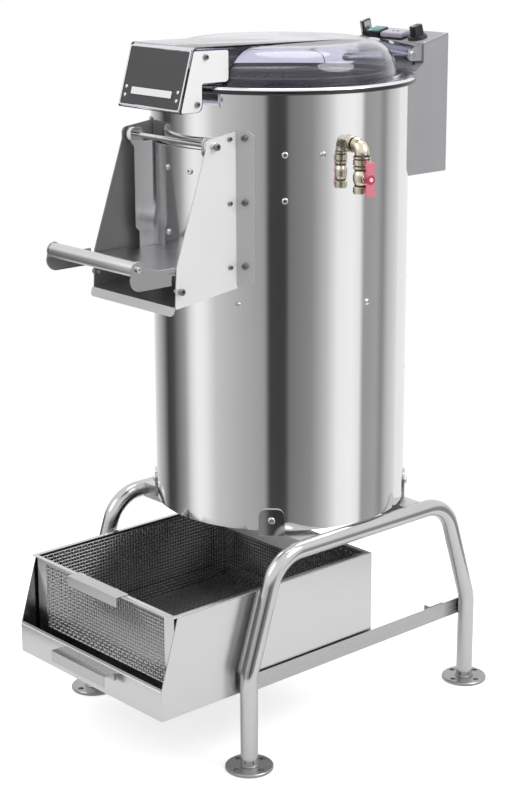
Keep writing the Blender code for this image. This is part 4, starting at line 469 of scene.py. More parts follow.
# A darker copy of the tray's steel: painted shade on the bent pulls.
PULL_STEEL_SHADED = SheetMetal("pull_sheet_shaded", "tray_steel", (0.54, 0.54, 0.545), 0.26, 0.03, 0.00004,
                        Grain.ALONG_X, 0.03, 4.0, 0.95)
HEM_STEEL = SheetMetal("hem_edge", "tray_steel", (0.90, 0.90, 0.905), 0.24, 0.03, 0.00004,
                       Grain.ALONG_X, 0.03, 4.0, 0.97)
RAIL_STEEL = SheetMetal("rail_sheet", "stand_steel", (0.49, 0.49, 0.495), 0.26, 0.03, 0.00005,
                        Grain.ALONG_Y, 0.03, 5.0, 0.97)
WIRE = SheetMetal("basket_wire", "basket_mesh", (0.50, 0.50, 0.505), 0.26, 0.04, 0.00004, Grain.NONE, 0.05)
# A darker copy of the basket wire: painted shade on the basket's floor.
WIRE_SHADED = SheetMetal("basket_floor_wire_shaded", "basket_mesh", (0.44, 0.44, 0.445), 0.40, 0.05, 0.00004,
                       Grain.NONE, 0.05)
BOLT_STEEL = SheetMetal("bolt_steel", "satin_steel", (0.74, 0.74, 0.75), 0.18, 0.04, 0.00004,
                        Grain.NONE, 0.05, 60.0, 0.85)
SCREW_DARK = SheetMetal("dark_screw", "satin_steel", (0.30, 0.30, 0.31), 0.26, 0.05, 0.00004,
                        Grain.NONE, 0.05, 60.0, 0.8)
INNER_STEEL = SheetMetal("inner_plate", "inner_steel", (0.55, 0.55, 0.56), 0.36, 0.06, 0.00008,
                         Grain.ALONG_X, 0.10)
BEAD = CastMetal("weld_bead", "stand_steel", (0.50, 0.49, 0.48), 0.36, 0.06, 0.0003, 900.0, 0.5, 0.6)
ALUMINIUM = CastMetal("cast_aluminium", "cast_aluminium", (0.56, 0.57, 0.58), 0.48, 0.06, 0.0003)
BRASS = CastMetal("fitting_brass", "brass", (0.83, 0.76, 0.62), 0.20, 0.04, 0.0001, 900.0, 0.10, 0.88)
BRASS_DARK = CastMetal("brass_groove", "brass", (0.13, 0.10, 0.07), 0.45, 0.05, 0.0001, 900.0, 0.2, 0.7)
BOX_PAINT = Coating("box_paint", "box_grey", (0.33, 0.33, 0.34), 0.42, 0.04, 0.00006, 1800.0, 0.2, 0.96)
COVER_PAINT = Coating("cover_paint", "cover_dark", (0.052, 0.052, 0.055), 0.42, 0.05, 0.00006, 1500.0,
                      0.2, 0.92)
BLACK = Coating("black_moulding", "knob_black", (0.016, 0.016, 0.018), 0.36, 0.05, 0.00005, 1600.0, 0.2)
TEAL = Coating("teal_button", "button_teal", (0.035, 0.20, 0.20), 0.30, 0.04, 0.00004, 1600.0, 0.15, 0.9, 0.3)
PALE = Coating("pale_button", "button_pale", (0.47, 0.42, 0.52), 0.28, 0.04, 0.00004, 1600.0, 0.15, 0.9, 0.3)
NYLON = Coating("white_nylon", "white_nylon", (0.86, 0.86, 0.86), 0.40, 0.05, 0.00005, 1200.0, 0.15, 0.96)
MARK = Coating("dark_mark", "cover_dark", (0.02, 0.02, 0.022), 0.5, 0.04, 0.00004, 1200.0, 0.1)
CRIMSON = Coating("red_hub", "handle_red", (0.55, 0.03, 0.075), 0.30, 0.05, 0.00006, 500.0, 0.2, 0.8, 0.25)
ROSE = Coating("red_dip", "handle_red", (0.74, 0.20, 0.28), 0.32, 0.05, 0.00006, 500.0, 0.2, 0.85, 0.25)
NAVY = Coating("lid_seal", "clear_lid", (0.016, 0.016, 0.035), 0.35, 0.05, 0.00005, 900.0, 0.2)
RUBBER = Coating("rubber", "rubber", (0.028, 0.028, 0.028), 0.78, 0.06, 0.00010, 1600.0, 0.4)
CLEAR = ClearPlastic("clear_moulding", "clear_lid", (0.78, 0.785, 0.88), 0.012, 0.02, 0.0005)
ABRASIVE = Grit("abrasive_grit", "abrasive", (0.19, 0.18, 0.165), 0.86, 0.06, 0.0012)
CORUNDUM = Grit("pale_grit", "abrasive", (0.46, 0.455, 0.45), 0.84, 0.06, 0.0010)


# Outlines and meshes

def circle(radius: float, steps: int = 40, centre: tuple[float, float] = (0.0, 0.0)) -> Outline:
    """A round outline.

    Args:
        radius: Its radius.
        steps: Number of points.
        centre: Its middle.

    Returns:
        The points.
    """
    return [(centre[0] + radius * math.cos(math.tau * i / steps),
             centre[1] + radius * math.sin(math.tau * i / steps)) for i in range(steps)]


def box_outline(low: tuple[float, float], high: tuple[float, float]) -> Outline:
    """A rectangle between two corners."""
    return [(low[0], low[1]), (high[0], low[1]), (high[0], high[1]), (low[0], high[1])]


def fillet(corners: Sequence[tuple[float, float]], radii: Sequence[float], closed: bool = True,
           steps: int = 8) -> Outline:
    """Rounds an outline's corners.

    Args:
        corners: The sharp outline.
        radii: One radius per corner, 0 keeps it sharp.
        closed: Whether the last corner joins the first.
        steps: Chords in each rounding.

    Returns:
        The rounded outline.
    """
    count = len(corners)
    points: Outline = []
    for i, corner in enumerate(corners):
        here = Vector(corner)
        radius = radii[i]
        if radius == 0 or (not closed and i in (0, count - 1)):
            points.append((here.x, here.y))
            continue
        before = (Vector(corners[i - 1]) - here).normalized()
        after = (Vector(corners[(i + 1) % count]) - here).normalized()
        half = before.angle(after) / 2
        centre = here + (before + after).normalized() * (radius / math.sin(half))
        start = here + before * (radius / math.tan(half)) - centre
        sweep = start.angle_signed(here + after * (radius / math.tan(half)) - centre)
        for step in range(steps + 1):
            turn = -sweep * step / steps
            points.append((centre.x + start.x * math.cos(turn) - start.y * math.sin(turn),
                           centre.y + start.x * math.sin(turn) + start.y * math.cos(turn)))
    return points


def lift(point: tuple[float, float], height: float, axis: Axis) -> Vector:
    """An outline's point as a 3-D one: (y, z) across X, (x, z) across Y, (x, y) across Z.

    Args:
        point: The 2-D point.
        height: Its place along the axis.
        axis: The axis that the outline is seen along.

    Returns:
        The 3-D point.
    """
    if axis is Axis.X:
        return Vector((height, point[0], point[1]))
    if axis is Axis.Y:
        return Vector((point[0], height, point[1]))
    return Vector((point[0], point[1], height))


def around(radius: float, angle: float, z: float = 0.0) -> Vector:
    """A point at an azimuth counted from the machine's front towards +X."""
    return Vector((radius * math.sin(angle), -radius * math.cos(angle), z))


def facing(spot: Vector, normal: Vector) -> Matrix:
    """A frame at a spot whose local Z points along a normal.

    Args:
        spot: Where it stands.
        normal: Which way it looks.

    Returns:
        The 4 by 4 matrix.
    """
    return Matrix.Translation(spot) @ normal.to_track_quat("Z", "Y").to_matrix().to_4x4()


class Blank:
    """A mesh while it is being made, in the machine's own metres."""

    def __init__(self) -> None:
        """Starts empty."""
        self.body = bmesh.new()

    def strip(self, rows: Sequence[Sequence[Vector]], wrap: bool = False, ring: bool = True,
              caps: bool = False) -> "Blank":
        """Joins rows of points with four-sided faces.

        Args:
            rows: Rows of equal length.
            wrap: Whether the last row joins the first.
            ring: Whether each row closes on itself.
            caps: Whether the first and the last row get a face.

        Returns:
            This blank.
        """
        verts = [[self.body.verts.new(point) for point in row] for row in rows]
        pairs = list(zip(verts, verts[1:])) + ([(verts[-1], verts[0])] if wrap else [])
        for low, high in pairs:
            for i in range(0 if ring else 1, len(low)):
                self.body.faces.new((low[i - 1], low[i], high[i], high[i - 1]))
        if caps:
            self.body.faces.new(verts[0])
            self.body.faces.new(reversed(verts[-1]))
        return self

    def plate(self, outline: Outline, low: float, high: float, axis: Axis = Axis.Z) -> "Blank":
        """Adds an outline swept from low to high along an axis."""
        return self.strip([[lift(point, height, axis) for point in outline] for height in (low, high)], caps=True)

    def turn(self, profile: Outline, steps: int = 64, centre: tuple[float, float] = (0.0, 0.0)) -> "Blank":
        """Adds a body turned about a vertical axis.

        Args:
            profile: Closed (radius, z) section.
            steps: Facets round the axis.
            centre: The axis's place.

        Returns:
            This blank.
        """
        rows = []
        for i in range(steps):
            angle = math.tau * i / steps
            rows.append([Vector((centre[0] + r * math.cos(angle), centre[1] + r * math.sin(angle), z))
                         for r, z in profile])
        self.strip(rows, wrap=True)
        return self.weld()

    def pipe(self, path: Sequence[Vector], radius: Callable[[float], float] | float, sides: int = 28,
             closed: bool = False) -> "Blank":
        """Adds a round bar along a path.

        Args:
            path: The middle line's points.
            radius: The radius, or a function of the share of the path's points.
            sides: Facets round the bar.
            closed: Whether the path is a loop.

        Returns:
            This blank.
        """
        count = len(path)
        rows = []
        side = None
        for i, point in enumerate(path):
            before = path[i - 1] if closed or i else point
            after = path[(i + 1) % count] if closed or i < count - 1 else point
            ahead = (after - before).normalized()
            if side is None:
                side = ahead.orthogonal().normalized()
            side = (side - ahead * side.dot(ahead)).normalized()
            other = ahead.cross(side)
            reach = radius(i / (count - 1)) if callable(radius) else radius
            rows.append([point + (side * math.cos(math.tau * k / sides) + other * math.sin(math.tau * k / sides))
                         * reach for k in range(sides)])
        return self.strip(rows, wrap=closed, caps=not closed)

    def arc(self, inner: float, outer: float, middle: float, half: float, low: float, high: float,
            steps: int = 48) -> "Blank":
        """Adds a plate curved round the drum's axis.

        Args:
            inner: Inner radius.
            outer: Outer radius.
            middle: Azimuth of its middle.
            half: Half the angle that it spans.
            low: Its foot.
            high: Its top.
            steps: Chords along it.

        Returns:
            This blank.
        """
        angles = [middle - half + 2 * half * i / steps for i in range(steps + 1)]
        rows = [[around(inner, a, low), around(outer, a, low), around(outer, a, high), around(inner, a, high)]
                for a in angles]
        return self.strip(rows, caps=True)

    def add(self, other: "Blank", matrix: Matrix = Matrix.Identity(4)) -> "Blank":
        """Takes in another blank's mesh.

        Args:
            other: The blank to take in, which is used up.
            matrix: Where to put it.

        Returns:
            This blank.
        """
        mesh = bpy.data.meshes.new("part")
        other.body.to_mesh(mesh)
        other.body.free()
        mesh.transform(matrix)
        self.body.from_mesh(mesh)
        bpy.data.meshes.remove(mesh)
        return self

    def move(self, matrix: Matrix) -> "Blank":
        """Moves everything made so far."""
        bmesh.ops.transform(self.body, matrix=matrix, verts=self.body.verts)
        return self

    def weld(self) -> "Blank":
        """Joins doubled points and faces every side outwards."""
        bmesh.ops.remove_doubles(self.body, verts=self.body.verts, dist=WELD / 10)
        loose = [edge for edge in self.body.edges if not edge.link_faces]
        bmesh.ops.delete(self.body, geom=loose, context="EDGES")
        bmesh.ops.recalc_face_normals(self.body, faces=self.body.faces)
        return self

    def soften(self, width: float, segments: int = 3, angle: float = 0.5) -> "Blank":
        """Rounds the sharp edges made so far.

        Args:
            width: Size of the rounding.
            segments: Faces across it.
            angle: Smallest edge angle that counts as sharp.

        Returns:
            This blank.
        """
        self.weld()
        edges = [edge for edge in self.body.edges if edge.calc_face_angle(0) > angle]
        bmesh.ops.bevel(self.body, geom=edges, offset=width, segments=segments, affect="EDGES",
                        profile=0.5, clamp_overlap=True)
        return self.weld()

    def carve(self, other: "Blank", operation: str = "DIFFERENCE") -> "Blank":
        """Cuts, joins or intersects this blank with another one.

        Args:
            other: The tool, which is used up.
            operation: The Boolean's kind.

        Returns:
            This blank.
        """
        objects = []
        for blank in (self.weld(), other.weld()):
            mesh = bpy.data.meshes.new("stock")
            blank.body.to_mesh(mesh)
            blank.body.free()
            objects.append(bpy.data.objects.new("stock", mesh))
            bpy.context.scene.collection.objects.link(objects[-1])
        modifier = objects[0].modifiers.new("carve", "BOOLEAN")
        modifier.object = objects[1]
        modifier.operation = operation
        modifier.solver = "EXACT"
        bpy.context.view_layer.update()
        result = bpy.data.meshes.new_from_object(objects[0].evaluated_get(bpy.context.evaluated_depsgraph_get()))
        self.body = bmesh.new()
        self.body.from_mesh(result)
        for stock in objects:
            mesh = stock.data
            bpy.data.objects.remove(stock, do_unlink=True)
            bpy.data.meshes.remove(mesh)
        bpy.data.meshes.remove(result)
        return self.weld()


def set_piece(blank: Blank, name: str, finish: Finish, body: str = "machine",
              stands_for: Sequence[str] = (), sharp: float = 32.0, bevel: float = 0.0) -> bpy.types.Object:
    """Makes a finished piece of the machine from a blank.

    Args:
        blank: The mesh, which is used up.
        name: The piece's name.
        finish: What it is made of.
        body: The body that it rides on.
        stands_for: The solids that it stands for.
        sharp: Edge angle in degrees above which an edge shows as a corner.
        bevel: Rounding of the sharp edges.

    Returns:
        The new object.
    """
    blank.weld()
    mesh = bpy.data.meshes.new(name)
    blank.body.to_mesh(mesh)
    blank.body.free()
    mesh.transform(Matrix.Translation(SHIFT))
    mesh.materials.append(finish.material())
    mesh.shade_smooth()
    mesh.set_sharp_from_angle(angle=math.radians(sharp))
    piece = bpy.data.objects.new(name, mesh)
    bpy.context.scene.collection.objects.link(piece)
    if bevel:
        round_edges(piece, bevel, sharp)
    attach(piece, body)
    if stands_for:
        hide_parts(*stands_for)
    LOG.info("%s: %d faces, rides on %s", name, len(mesh.polygons), body)
    return piece


def round_edges(piece: bpy.types.Object, width: float, sharp: float) -> None:
    """Adds a small rounding to a piece's corners.

    Args:
        piece: The object.
        width: Size of the rounding.
        sharp: Edge angle in degrees that counts as a corner.
    """
    modifier = piece.modifiers.new("rounding", "BEVEL")
    modifier.width = width
    modifier.segments = 2
    modifier.limit_method = "ANGLE"
    modifier.angle_limit = math.radians(sharp)
    modifier.harden_normals = True
    modifier.use_clamp_overlap = True


def clean_shading() -> bpy.types.NodeTree:
    """The node group that welds a solid's facets and shades it by angle.

    Returns:
        The group, made when it is first asked for.
    """
    name = "clean_shading"
    ready = bpy.data.node_groups.get(name)
    if ready:
        return ready
    group = bpy.data.node_groups.new(name, "GeometryNodeTree")
    group.interface.new_socket("Geometry", in_out="INPUT", socket_type="NodeSocketGeometry")
    group.interface.new_socket("Geometry", in_out="OUTPUT", socket_type="NodeSocketGeometry")
    entry = group.nodes.new("NodeGroupInput")
    leave = group.nodes.new("NodeGroupOutput")
    merge = group.nodes.new("GeometryNodeMergeByDistance")
    merge.inputs["Distance"].default_value = WELD
    drop = group.nodes.new("GeometryNodeRemoveAttribute")
    drop.inputs["Name"].default_value = "custom_normal"
    angle = group.nodes.new("GeometryNodeInputMeshEdgeAngle")
    compare = group.nodes.new("FunctionNodeCompare")
    compare.operation = "LESS_THAN"
    compare.inputs["B"].default_value = math.radians(32)
    edges = group.nodes.new("GeometryNodeSetShadeSmooth")
    edges.domain = "EDGE"
    faces = group.nodes.new("GeometryNodeSetShadeSmooth")
    faces.domain = "FACE"
    link = group.links.new
    link(entry.outputs[0], drop.inputs["Geometry"])
    link(drop.outputs["Geometry"], merge.inputs["Geometry"])
    link(merge.outputs["Geometry"], faces.inputs["Geometry"])
    link(faces.outputs["Geometry"], edges.inputs["Geometry"])
    link(angle.outputs["Unsigned Angle"], compare.inputs["A"])
    link(compare.outputs["Result"], edges.inputs["Shade Smooth"])
    link(edges.outputs["Geometry"], leave.inputs[0])
    return group


def dress(node: str, finish: Finish, bevel: float = 0.0, sharp: float = 32.0) -> bpy.types.Object:
    """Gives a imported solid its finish, clean shading and small edge roundings.

    Args:
        node: The solid's name.
        finish: What it is made of.
        bevel: Rounding of its corners, 0 for none.
        sharp: Edge angle in degrees that counts as a corner.

    Returns:
        The solid's object.
    """
    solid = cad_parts[node]
    solid.data.materials.clear()
    solid.data.materials.append(finish.material())
    shading = solid.modifiers.new("shading", "NODES")
    shading.node_group = clean_shading()
    if bevel:
        round_edges(solid, bevel, sharp)
    LOG.info("%s: packed solid in %s", node, finish.name)
    return solid


def screw(head: Head, radius: float) -> Blank:
    """A screw or bolt head that stands on the plane z = 0.

    Args:
        head: Its kind.
        radius: Its radius.

    Returns:
        The blank, with its axis on Z.
    """
    made = Blank()
    sink = -radius / 4
    if head is Head.RIVET:
        top = [(radius * math.cos(t * math.pi / 12), radius * 0.45 * math.sin(t * math.pi / 12)) for t in range(7)]
        made.turn([(0, sink), (radius, sink)] + top, 20)
        return made
    if head is Head.HEX:
        made.turn([(0, sink), (radius * 1.25, sink), (radius * 1.25, radius * 0.12), (0, radius * 0.12)], 24)
        nut = Blank().plate(circle(radius, 6), radius * 0.1, radius * 0.75).soften(radius * 0.08, 2)
        return made.add(nut)
    rise = radius * (0.95 if head is Head.SOCKET else 0.55)
    crown = fillet([(radius, sink), (radius, rise), (radius * 0.5, rise), (radius * 0.5, rise * 0.4),
                    (0, rise * 0.4)], [0, radius * (0.2 if head is Head.SOCKET else 0.5), radius * 0.06, 0, 0],
                   closed=False, steps=5)
    made.turn([(0, sink)] + crown, 24)
    return made


def screws(spots: Sequence[tuple[Vector, Vector]], head: Head, radius: float) -> Blank:
    """Several heads in one mesh.

    Args:
        spots: Each head's place and the way that it looks.
        head: Their kind.
        radius: Their radius.

    Returns:
        One blank with every head.
    """
    made = Blank()
    for spot, normal in spots:
        made.add(screw(head, radius), facing(spot, normal))
    return made


def bead(path: Sequence[Vector], size: float, closed: bool = False) -> Blank:
    """A weld bead with ripples along a path.

    Args:
        path: The corner that it fills.
        size: Its radius.
        closed: Whether the path is a loop.

    Returns:
        The blank.
    """
    fine: list[Vector] = []
    ends = list(path) + ([path[0]] if closed else [])
    for start, end in zip(ends, ends[1:]):
        steps = max(2, round((end - start).length / (size * 0.55)))
        fine += [start.lerp(end, i / steps) for i in range(steps)]
    if not closed:
        fine.append(ends[-1])
    count = len(fine)
    return Blank().pipe(fine, lambda share: size * (0.86 + 0.14 * math.cos(share * count * 2.1)), 8, closed)


# Studio

@dataclass
class Studio:
    """Camera at the photograph's angle, soft lamps, a pale floor and a white surround with dark cards."""

    azimuth: float = math.radians(47.6191)
    distance: float = 3.2163
    height: float = 1.4695
    turn: float = math.radians(47.493)
    tilt: float = math.radians(14.7254)
    lens: float = 82.82
    sensor: float = 36.0
    shift: tuple[float, float] = (-0.03595, -0.04624)
    floor_radius: float = 1.08
    floor_colour: Colour = (0.90, 0.90, 0.90)
    floor_lift: float = 0.50
    ambient: float = 0.78
    upper: float = 1.0
    surround: tuple[tuple[float, float], ...] = (
        (-180, 0.90), (-125, 0.92), (-107, 0.66), (-88, 0.36), (-76, 0.05), (-66, 0.07), (-48, 0.36),
        (-40, 0.80), (-32, 1.04), (-24, 0.94), (-12, 0.62), (12, 0.47), (34, 0.37), (38, 0.05), (53, 0.05),
        (56, 0.19), (76, 0.28), (90, 0.57), (101, 0.94), (115, 1.06), (124, 0.90), (128, 0.34), (145, 0.40),
        (153, 0.26), (162, 0.55), (180, 0.80))

    def build(self) -> None:
        """Sets up everything that isn't the machine."""
        self.camera()
        self.world()
        self.lamps()
        self.floor()
        bpy.context.scene.view_settings.view_transform = "Standard"

    def camera(self) -> None:
        """Places the camera as the photograph was taken."""
        data = bpy.data.cameras.new("camera")
        data.sensor_fit = "VERTICAL"
        data.sensor_height = self.sensor
        data.lens = self.lens
        data.shift_x, data.shift_y = self.shift
        data.clip_end = 50
        camera = bpy.data.objects.new("camera", data)
        bpy.context.scene.collection.objects.link(camera)
        right = Vector((math.cos(self.turn), math.sin(self.turn), 0))
        ahead = Vector((-math.sin(self.turn) * math.cos(self.tilt), math.cos(self.turn) * math.cos(self.tilt),
                        -math.sin(self.tilt)))
        columns = Matrix((right, right.cross(ahead), -ahead)).transposed().to_4x4()
        spot = Vector((self.distance * math.sin(self.azimuth), -self.distance * math.cos(self.azimuth),
                       self.height)) + SHIFT
        camera.matrix_world = Matrix.Translation(spot) @ columns
        bpy.context.scene.camera = camera
        LOG.info("camera at %s", tuple(round(part, 3) for part in spot))

    def world(self) -> None:
        """White for the eye and through clear plastic, a plain level for light, cards for reflections."""
        world = bpy.data.worlds.new("surround")
        bpy.context.scene.world = world
        world.use_nodes = True
        tree = world.node_tree
        tree.nodes.clear()
        new, link = tree.nodes.new, tree.links.new
        place = new("ShaderNodeTexCoord")
        quarter = new("ShaderNodeMapping")
        quarter.inputs["Rotation"].default_value = (0, 0, math.pi / 2)
        compass = new("ShaderNodeTexGradient")
        compass.gradient_type = "RADIAL"
        cards = new("ShaderNodeValToRGB")
        stops = cards.color_ramp.elements
        while len(stops) > 1:
            stops.remove(stops[-1])
        for i, (degrees, level) in enumerate(self.surround):
            stop = stops[0] if i == 0 else stops.new((degrees + 180) / 360)
            stop.position = (degrees + 180) / 360
            stop.color = (min(level, 1.0),) * 3 + (1,)
        split = new("ShaderNodeSeparateXYZ")
        rise = new("ShaderNodeMapRange")
        rise.interpolation_type = "SMOOTHSTEP"
        rise.inputs["From Min"].default_value = 0.02
        rise.inputs["From Max"].default_value = 0.35
        sky = new("ShaderNodeMix")
        sky.data_type = "RGBA"
        sky.inputs["B"].default_value = (self.upper,) * 3 + (1,)
        link(place.outputs["Generated"], quarter.inputs["Vector"])
        link(quarter.outputs["Vector"], compass.inputs["Vector"])
        link(compass.outputs["Fac"], cards.inputs["Fac"])
        link(place.outputs["Generated"], split.inputs["Vector"])
        link(split.outputs["Z"], rise.inputs["Value"])
        link(rise.outputs["Result"], sky.inputs["Factor"])
        link(cards.outputs["Color"], sky.inputs["A"])
        rays = new("ShaderNodeLightPath")
        shine = new("ShaderNodeMix")
        shine.data_type = "RGBA"
        shine.inputs["A"].default_value = (self.ambient,) * 3 + (1,)
        link(rays.outputs["Is Glossy Ray"], shine.inputs["Factor"])
        link(sky.outputs["Result"], shine.inputs["B"])
        seen = new("ShaderNodeMath")
        seen.operation = "MAXIMUM"
        link(rays.outputs["Is Camera Ray"], seen.inputs[0])
        link(rays.outputs["Is Transmission Ray"], seen.inputs[1])
        white = new("ShaderNodeMix")
        white.data_type = "RGBA"
        white.inputs["B"].default_value = (1, 1, 1, 1)
        link(seen.outputs["Value"], white.inputs["Factor"])
        link(shine.outputs["Result"], white.inputs["A"])
        glow = new("ShaderNodeBackground")
        out = new("ShaderNodeOutputWorld")
        link(white.outputs["Result"], glow.inputs["Color"])
        link(glow.outputs["Background"], out.inputs["Surface"])

    def lamps(self) -> None:
        """Three broad soft lamps: a key from the valve side, a fill from the chute side and a top light."""
        for name, degrees, rise, reach, size, power in (
                ("key", 112, 42, 3.2, 1.8, 34), ("fill", -22, 38, 3.4, 1.8, 16), ("top", 200, 78, 3.0, 1.6, 16)):
            data = bpy.data.lights.new(name, "AREA")
            data.shape = "DISK"
            data.size = size
            data.energy = power
            lamp = bpy.data.objects.new(name, data)
            bpy.context.scene.collection.objects.link(lamp)
            up = math.radians(rise)
            spot = around(reach * math.cos(up), math.radians(degrees), 0.7 + reach * math.sin(up)) + SHIFT
            aim = Vector((0, 0, 0.7)) + SHIFT - spot
            lamp.matrix_world = Matrix.Translation(spot) @ aim.to_track_quat("-Z", "Y").to_matrix().to_4x4()

    def floor(self) -> None:
        """A round pale floor that keeps the machine's shadow."""
        disc = Blank().turn([(0, -0.0003), (self.floor_radius, -0.0003), (self.floor_radius, -0.004),
                             (0, -0.004)], 96)
        mesh = bpy.data.meshes.new("floor")
        disc.weld().body.to_mesh(mesh)
        disc.body.free()
        desk = NodeDesk("pale_floor")
        desk.join(desk.blend(desk.noise((3.0,) * 3), scaled(self.floor_colour, 0.99), self.floor_colour),
                  desk.shader.inputs["Base Color"])
        desk.constant("Roughness", 0.9)
        desk.constant("Specular IOR Level", 0.0)
        desk.constant("Emission Color", (1, 1, 1, 1))
        rays = desk.node("ShaderNodeLightPath")
        glow = desk.node("ShaderNodeMath", operation="MULTIPLY")
        glow.inputs[1].default_value = self.floor_lift
        desk.join(rays.outputs["Is Camera Ray"], glow.inputs[0])
        desk.join(glow.outputs["Value"], desk.shader.inputs["Emission Strength"])
        mesh.materials.append(desk.material)
        floor = bpy.data.objects.new("floor", mesh)
        bpy.context.scene.collection.objects.link(floor)


# Stand

@dataclass
class Stand:
    """Two bent tube frames on round flanges, tied by cross members and tray rails."""

    tube: float = 0.015
    leg_x: float = 0.2206
    leg_y: float = 0.2723
    foot: float = 0.0060
    knee: float = 0.168
    knee_bend: float = 0.080
    top: float = 0.3658
    top_bend: float = 0.070
    lean: float = math.radians(18)
    flange_radius: float = 0.0415
    flange_thick: float = 0.006
    hole_radius: float = 0.0052
    hole_ring: float = 0.030
    cross_end: float = 0.2053
    cross_top: float = 0.3790
    cross_foot: float = 0.3512
    cross_outer: float = 0.1490
    cross_inner: float = 0.1075
    cross_sheet: float = 0.003
    tab_radius: float = 0.22835
    tab_low: float = 0.3765
    tab_high: float = 0.4241
    tab_half: float = 0.0225
    tab_corner: float = 0.014

    def build(self) -> None:
        """Makes the stand."""
        for word, side in (("right", 1), ("left", -1)):
            self.tube_frame(word, side)
            dress("rail_" + word, RAIL_STEEL, 0.0006)
            dress("rail_stop_" + word, RAIL_STEEL, 0.0006)
            for end, y in (("front", -self.leg_y), ("rear", self.leg_y)):
                self.flange(f"foot_flange_{end}_{word}", side * self.leg_x, y)
        for word, side in (("front", -1), ("rear", 1)):
            self.cross_member(word, side)
            self.tab_faces(word, side)
        self.beads()

    def cross_member(self, word: str, side: int) -> None:
        """Makes the folded channel between the side frames, with the two tabs that hold the drum.

        Args:
            word: Front or rear.
            side: Its sign along Y.
        """
        top, foot, sheet = self.cross_top, self.cross_foot, self.cross_sheet
        outer, inner = self.cross_outer, self.cross_inner
        section = [(side * y, z) for y, z in (
            (outer, foot), (outer, top), (inner, top), (inner, foot), (inner + sheet, foot),
            (inner + sheet, top - sheet), (outer - sheet, top - sheet), (outer - sheet, foot))]
        made = Blank().plate(section, -self.leg_x, self.leg_x, Axis.X)
        cope = Blank()
        for sign in HALVES:
            cope.plate(circle(self.tube + GAP, 48, (sign * self.leg_x, self.top)), -0.2, 0.2, Axis.Y)
        made.carve(cope)
        reach = self.tab_radius - 0.00005
        span = self.tab_half / reach
        for sign in HALVES:
            azimuth = sign * math.radians(44 if side < 0 else 136)
            curve = [around(reach, azimuth + span * (i / 8 - 1)) for i in range(17)]
            curve.sort(key=lambda point: point.x)
            ends = [(curve[-1].x, side * (outer - 0.001)), (curve[0].x, side * (outer - 0.001))]
            made.plate([(point.x, point.y) for point in curve] + ends, top - sheet, top)
            made.add(self.tab_face(azimuth, reach - self.cross_sheet, reach))
        set_piece(made, "cross_channel_" + word, SATIN, stands_for=["cross_member_" + word], bevel=0.0005)

    def tab_faces(self, word: str, side: int) -> None:
        """Lays the polished faces of the two tabs that hold the drum at one end.

        Args:
            word: Front or rear.
            side: Its sign along Y.
        """
        made = Blank()
        for sign in HALVES:
            made.add(self.tab_face(sign * math.radians(44 if side < 0 else 136), self.tab_radius,
                                   self.tab_radius + GAP))
        true_round(set_piece(made, "tab_faces_" + word, TAB_STEEL).data)

    def tab_face(self, azimuth: float, inner: float, outer: float) -> Blank:
        """One curved plate of a tab, with two rounded upper corners.

        Args:
            azimuth: Its middle.
            inner: Its inner radius.
            outer: Its outer radius.

        Returns:
            The blank.
        """
        rows = []
        for i in range(25):
            along = self.tab_half * (i / 12 - 1)
            drop = max(0.0, abs(along) - (self.tab_half - self.tab_corner))
            high = self.tab_high - self.tab_corner + math.sqrt(max(self.tab_corner ** 2 - drop ** 2, 0.0))
            angle = azimuth + along / inner
            rows.append([around(inner, angle, self.tab_low), around(outer, angle, self.tab_low),
                         around(outer, angle, high), around(inner, angle, high)])
        return Blank().strip(rows, caps=True)

    def tube_frame(self, word: str, side: int) -> None:
        """Makes one bent side frame.

        Args:
            word: Right or left.
            side: Its sign along X.
        """
        top_y = self.leg_y - (self.top - self.knee) * math.tan(self.lean)
        corners = [(-self.leg_y, self.foot), (-self.leg_y, self.knee), (-top_y, self.top),
                   (top_y, self.top), (self.leg_y, self.knee), (self.leg_y, self.foot)]
        path = fillet(corners, [0, self.knee_bend, self.top_bend, self.top_bend, self.knee_bend, 0],
                      closed=False, steps=18)
        points = [Vector((side * self.leg_x, y, z)) for y, z in path]
        set_piece(Blank().pipe(points, self.tube, 36), "side_frame_" + word, TUBE_STEEL,
                  stands_for=["leg_frame_" + word])

    def flange(self, node: str, x: float, y: float) -> None:
        """Makes a round floor flange with four holes.

        Args:
            node: The solid that it stands for.
            x: Its middle.
            y: Its middle.
        """
        edge = 0.0012
        profile = [(0, 0), (self.flange_radius - edge, 0), (self.flange_radius, edge),
                   (self.flange_radius, self.flange_thick - edge), (self.flange_radius - edge, self.flange_thick),
                   (0, self.flange_thick)]
        plate = Blank().turn(profile, 64, (x, y))
        holes = Blank()
        for i in range(4):
            angle = math.tau * i / 4
            spot = (x + self.hole_ring * math.cos(angle), y + self.hole_ring * math.sin(angle))
            holes.plate(circle(self.hole_radius, 20, spot), -self.flange_thick, self.flange_thick * 2)
        plate.carve(holes)
        set_piece(plate, node.replace("foot_flange", "floor_flange"), FLANGE_STEEL, stands_for=[node], sharp=20)

    def beads(self) -> None:
        """Lays the weld beads round the feet and along the joints."""
        made = Blank()
        for side in HALVES:
            for end in HALVES:
                ring = [Vector((x, y, self.flange_thick + 0.0006)) for x, y in
                        circle(self.tube + 0.0003, 28, (side * self.leg_x, end * self.leg_y))]
                made.add(bead(ring, 0.0020, closed=True))
                for height in (0.1340, 0.1583):
                    x = side * (self.leg_x - self.tube)
                    made.add(bead([Vector((x, end * (self.leg_y - 0.012), height)),
                                   Vector((x, end * (self.leg_y - 0.001), height))], 0.0016))
                for y in (self.cross_inner + 0.001, self.cross_outer - 0.001):
                    x = side * (self.cross_end + 0.0003)
                    made.add(bead([Vector((x, end * y, 0.3605)), Vector((x, end * y, 0.3775))], 0.0014))
        set_piece(made, "stand_weld_beads", BEAD, sharp=80)


# Catch tray and basket

